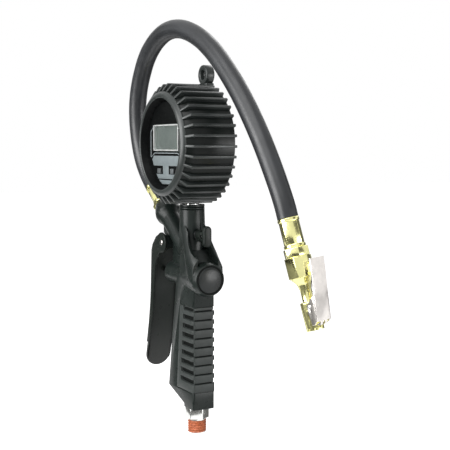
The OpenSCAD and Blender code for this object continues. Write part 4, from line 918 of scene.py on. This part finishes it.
# %% [markdown]
# ## The inlet's thread
# The solid under this is a plain sleeve. The real end is a pipe thread filled with sealing compound,
# so what shows is a row of soft ridges. One ridge is a flat lozenge swept round the axis with a rise
# of one pitch for each turn, over a plain core. At the very end the bare metal shows, chamfered.

# %% Thread ridges
THREAD_R, THREAD_LEAD, THREAD_LEN, THREAD_PITCH, THREAD_TURNS = 6.85, 1.3, 9.7, 1.8, 7
LOZENGE_R, LOZENGE_DEEP, LOZENGE_WIDE = 0.5, 1.5, 1.6
RIDGES_LOW, RIDGES_HIGH = THREAD_LEAD - 0.3, THREAD_LEN - 0.02
bpy.ops.object.select_all(action="DESELECT")
bpy.ops.mesh.primitive_circle_add(vertices=4, radius=LOZENGE_R * MM, location=(0, 0, 0))
thread = bpy.context.object
thread.name = "thread_ridges"
bpy.ops.object.mode_set(mode="EDIT")
bpy.ops.mesh.select_all(action="SELECT")
bpy.ops.transform.rotate(value=math.pi / 2, orient_axis="X", center_override=(0, 0, 0))
bpy.ops.transform.resize(value=(LOZENGE_DEEP, 1, LOZENGE_WIDE), center_override=(0, 0, 0))
bpy.ops.transform.translate(value=((THREAD_R - LOZENGE_R * LOZENGE_DEEP) * MM, 0, -THREAD_PITCH * MM))
bpy.ops.object.mode_set(mode="OBJECT")
wind = thread.modifiers.new("turns", "SCREW")
wind.axis = "Z"
wind.steps = wind.render_steps = 48
wind.iterations = THREAD_TURNS
wind.screw_offset = THREAD_PITCH * MM
wind.use_normal_calculate = True
bpy.ops.object.modifier_apply(modifier=wind.name)
bpy.ops.object.mode_set(mode="EDIT")
slice_off((0, 0, RIDGES_LOW), (0, 0, -1))
slice_off((0, 0, RIDGES_HIGH), (0, 0, 1))
bpy.ops.mesh.select_all(action="SELECT")
bpy.ops.mesh.normals_make_consistent(inside=False)
bpy.ops.object.mode_set(mode="OBJECT")
bpy.ops.object.shade_smooth_by_angle(angle=math.radians(45))
finish_piece(thread, "inflator", "sealant", "thread_sealant")
print("thread faces", len(thread.data.polygons))

# %% Thread core and bare lead
THREAD_CORE_R = 6.0
LEAD_RINGS = [(4.2, 0.5), (4.3, 0.0), (5.3, 0.0), (6.3, 0.9), (6.3, 1.6), (5.0, 1.7)]
core_rings = [(THREAD_CORE_R, THREAD_LEAD), (THREAD_CORE_R, THREAD_LEN)]
thread_core = lathe("thread_core", core_rings, Matrix(), edge=0.2)
finish_piece(thread_core, "inflator", "sealant", "thread_sealant")
thread_lead = lathe("thread_lead", LEAD_RINGS, Matrix(), smooth=20)
finish_piece(thread_lead, "inflator", "clip_nickel", "thread_sealant")
print("thread core and lead faces", len(thread_core.data.polygons), len(thread_lead.data.polygons))

# %% [markdown]
# ## Solids that stay as they are
# The display's window is a thin flat plate, and the clip's spring is hidden between the clip's cheeks.
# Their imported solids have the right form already, so they only get a better material.

# %% Kept solids
for node, finish in (("display_window", "display_clear"), ("clip_spring", "spring_steel")):
    solid = frame["nodes"][node]
    solid.data.materials.clear()
    solid.data.materials.append(FINISHES[finish])
    print("kept", node)

# %% [markdown]
# ## What the hose is
# A hose is more than a tube: it has a fixed length, a thickness and a stiffness, and something on its
# end. Here that is the chuck with its ferrule, nipple and clip.

# %% [markdown]
# ## Keeping the lamps off the bright metal
# Polished brass and nickel show a lamp as a glaring blot. In a studio a small flag would stand between
# the lamp and the metal. Light linking does the same: the bright pieces are left out of the reach of the
# key, top and fill lamps, and what they mirror is mostly the white room and the dark cards.

# %% Flags for the metal
BRIGHT = {"brass", "plated_steel", "clip_nickel", "frame_silver"}
flagged = bpy.data.collections.new("bright_metal")
for thing in bpy.context.scene.objects:
    if thing.type == "MESH" and any(paint and paint.name in BRIGHT for paint in thing.data.materials):
        flagged.objects.link(thing)
for entry in flagged.collection_objects:
    entry.light_linking.link_state = "EXCLUDE"
for lamp in (key_lamp, top_lamp, fill_lamp):
    lamp.light_linking.receiver_collection = flagged
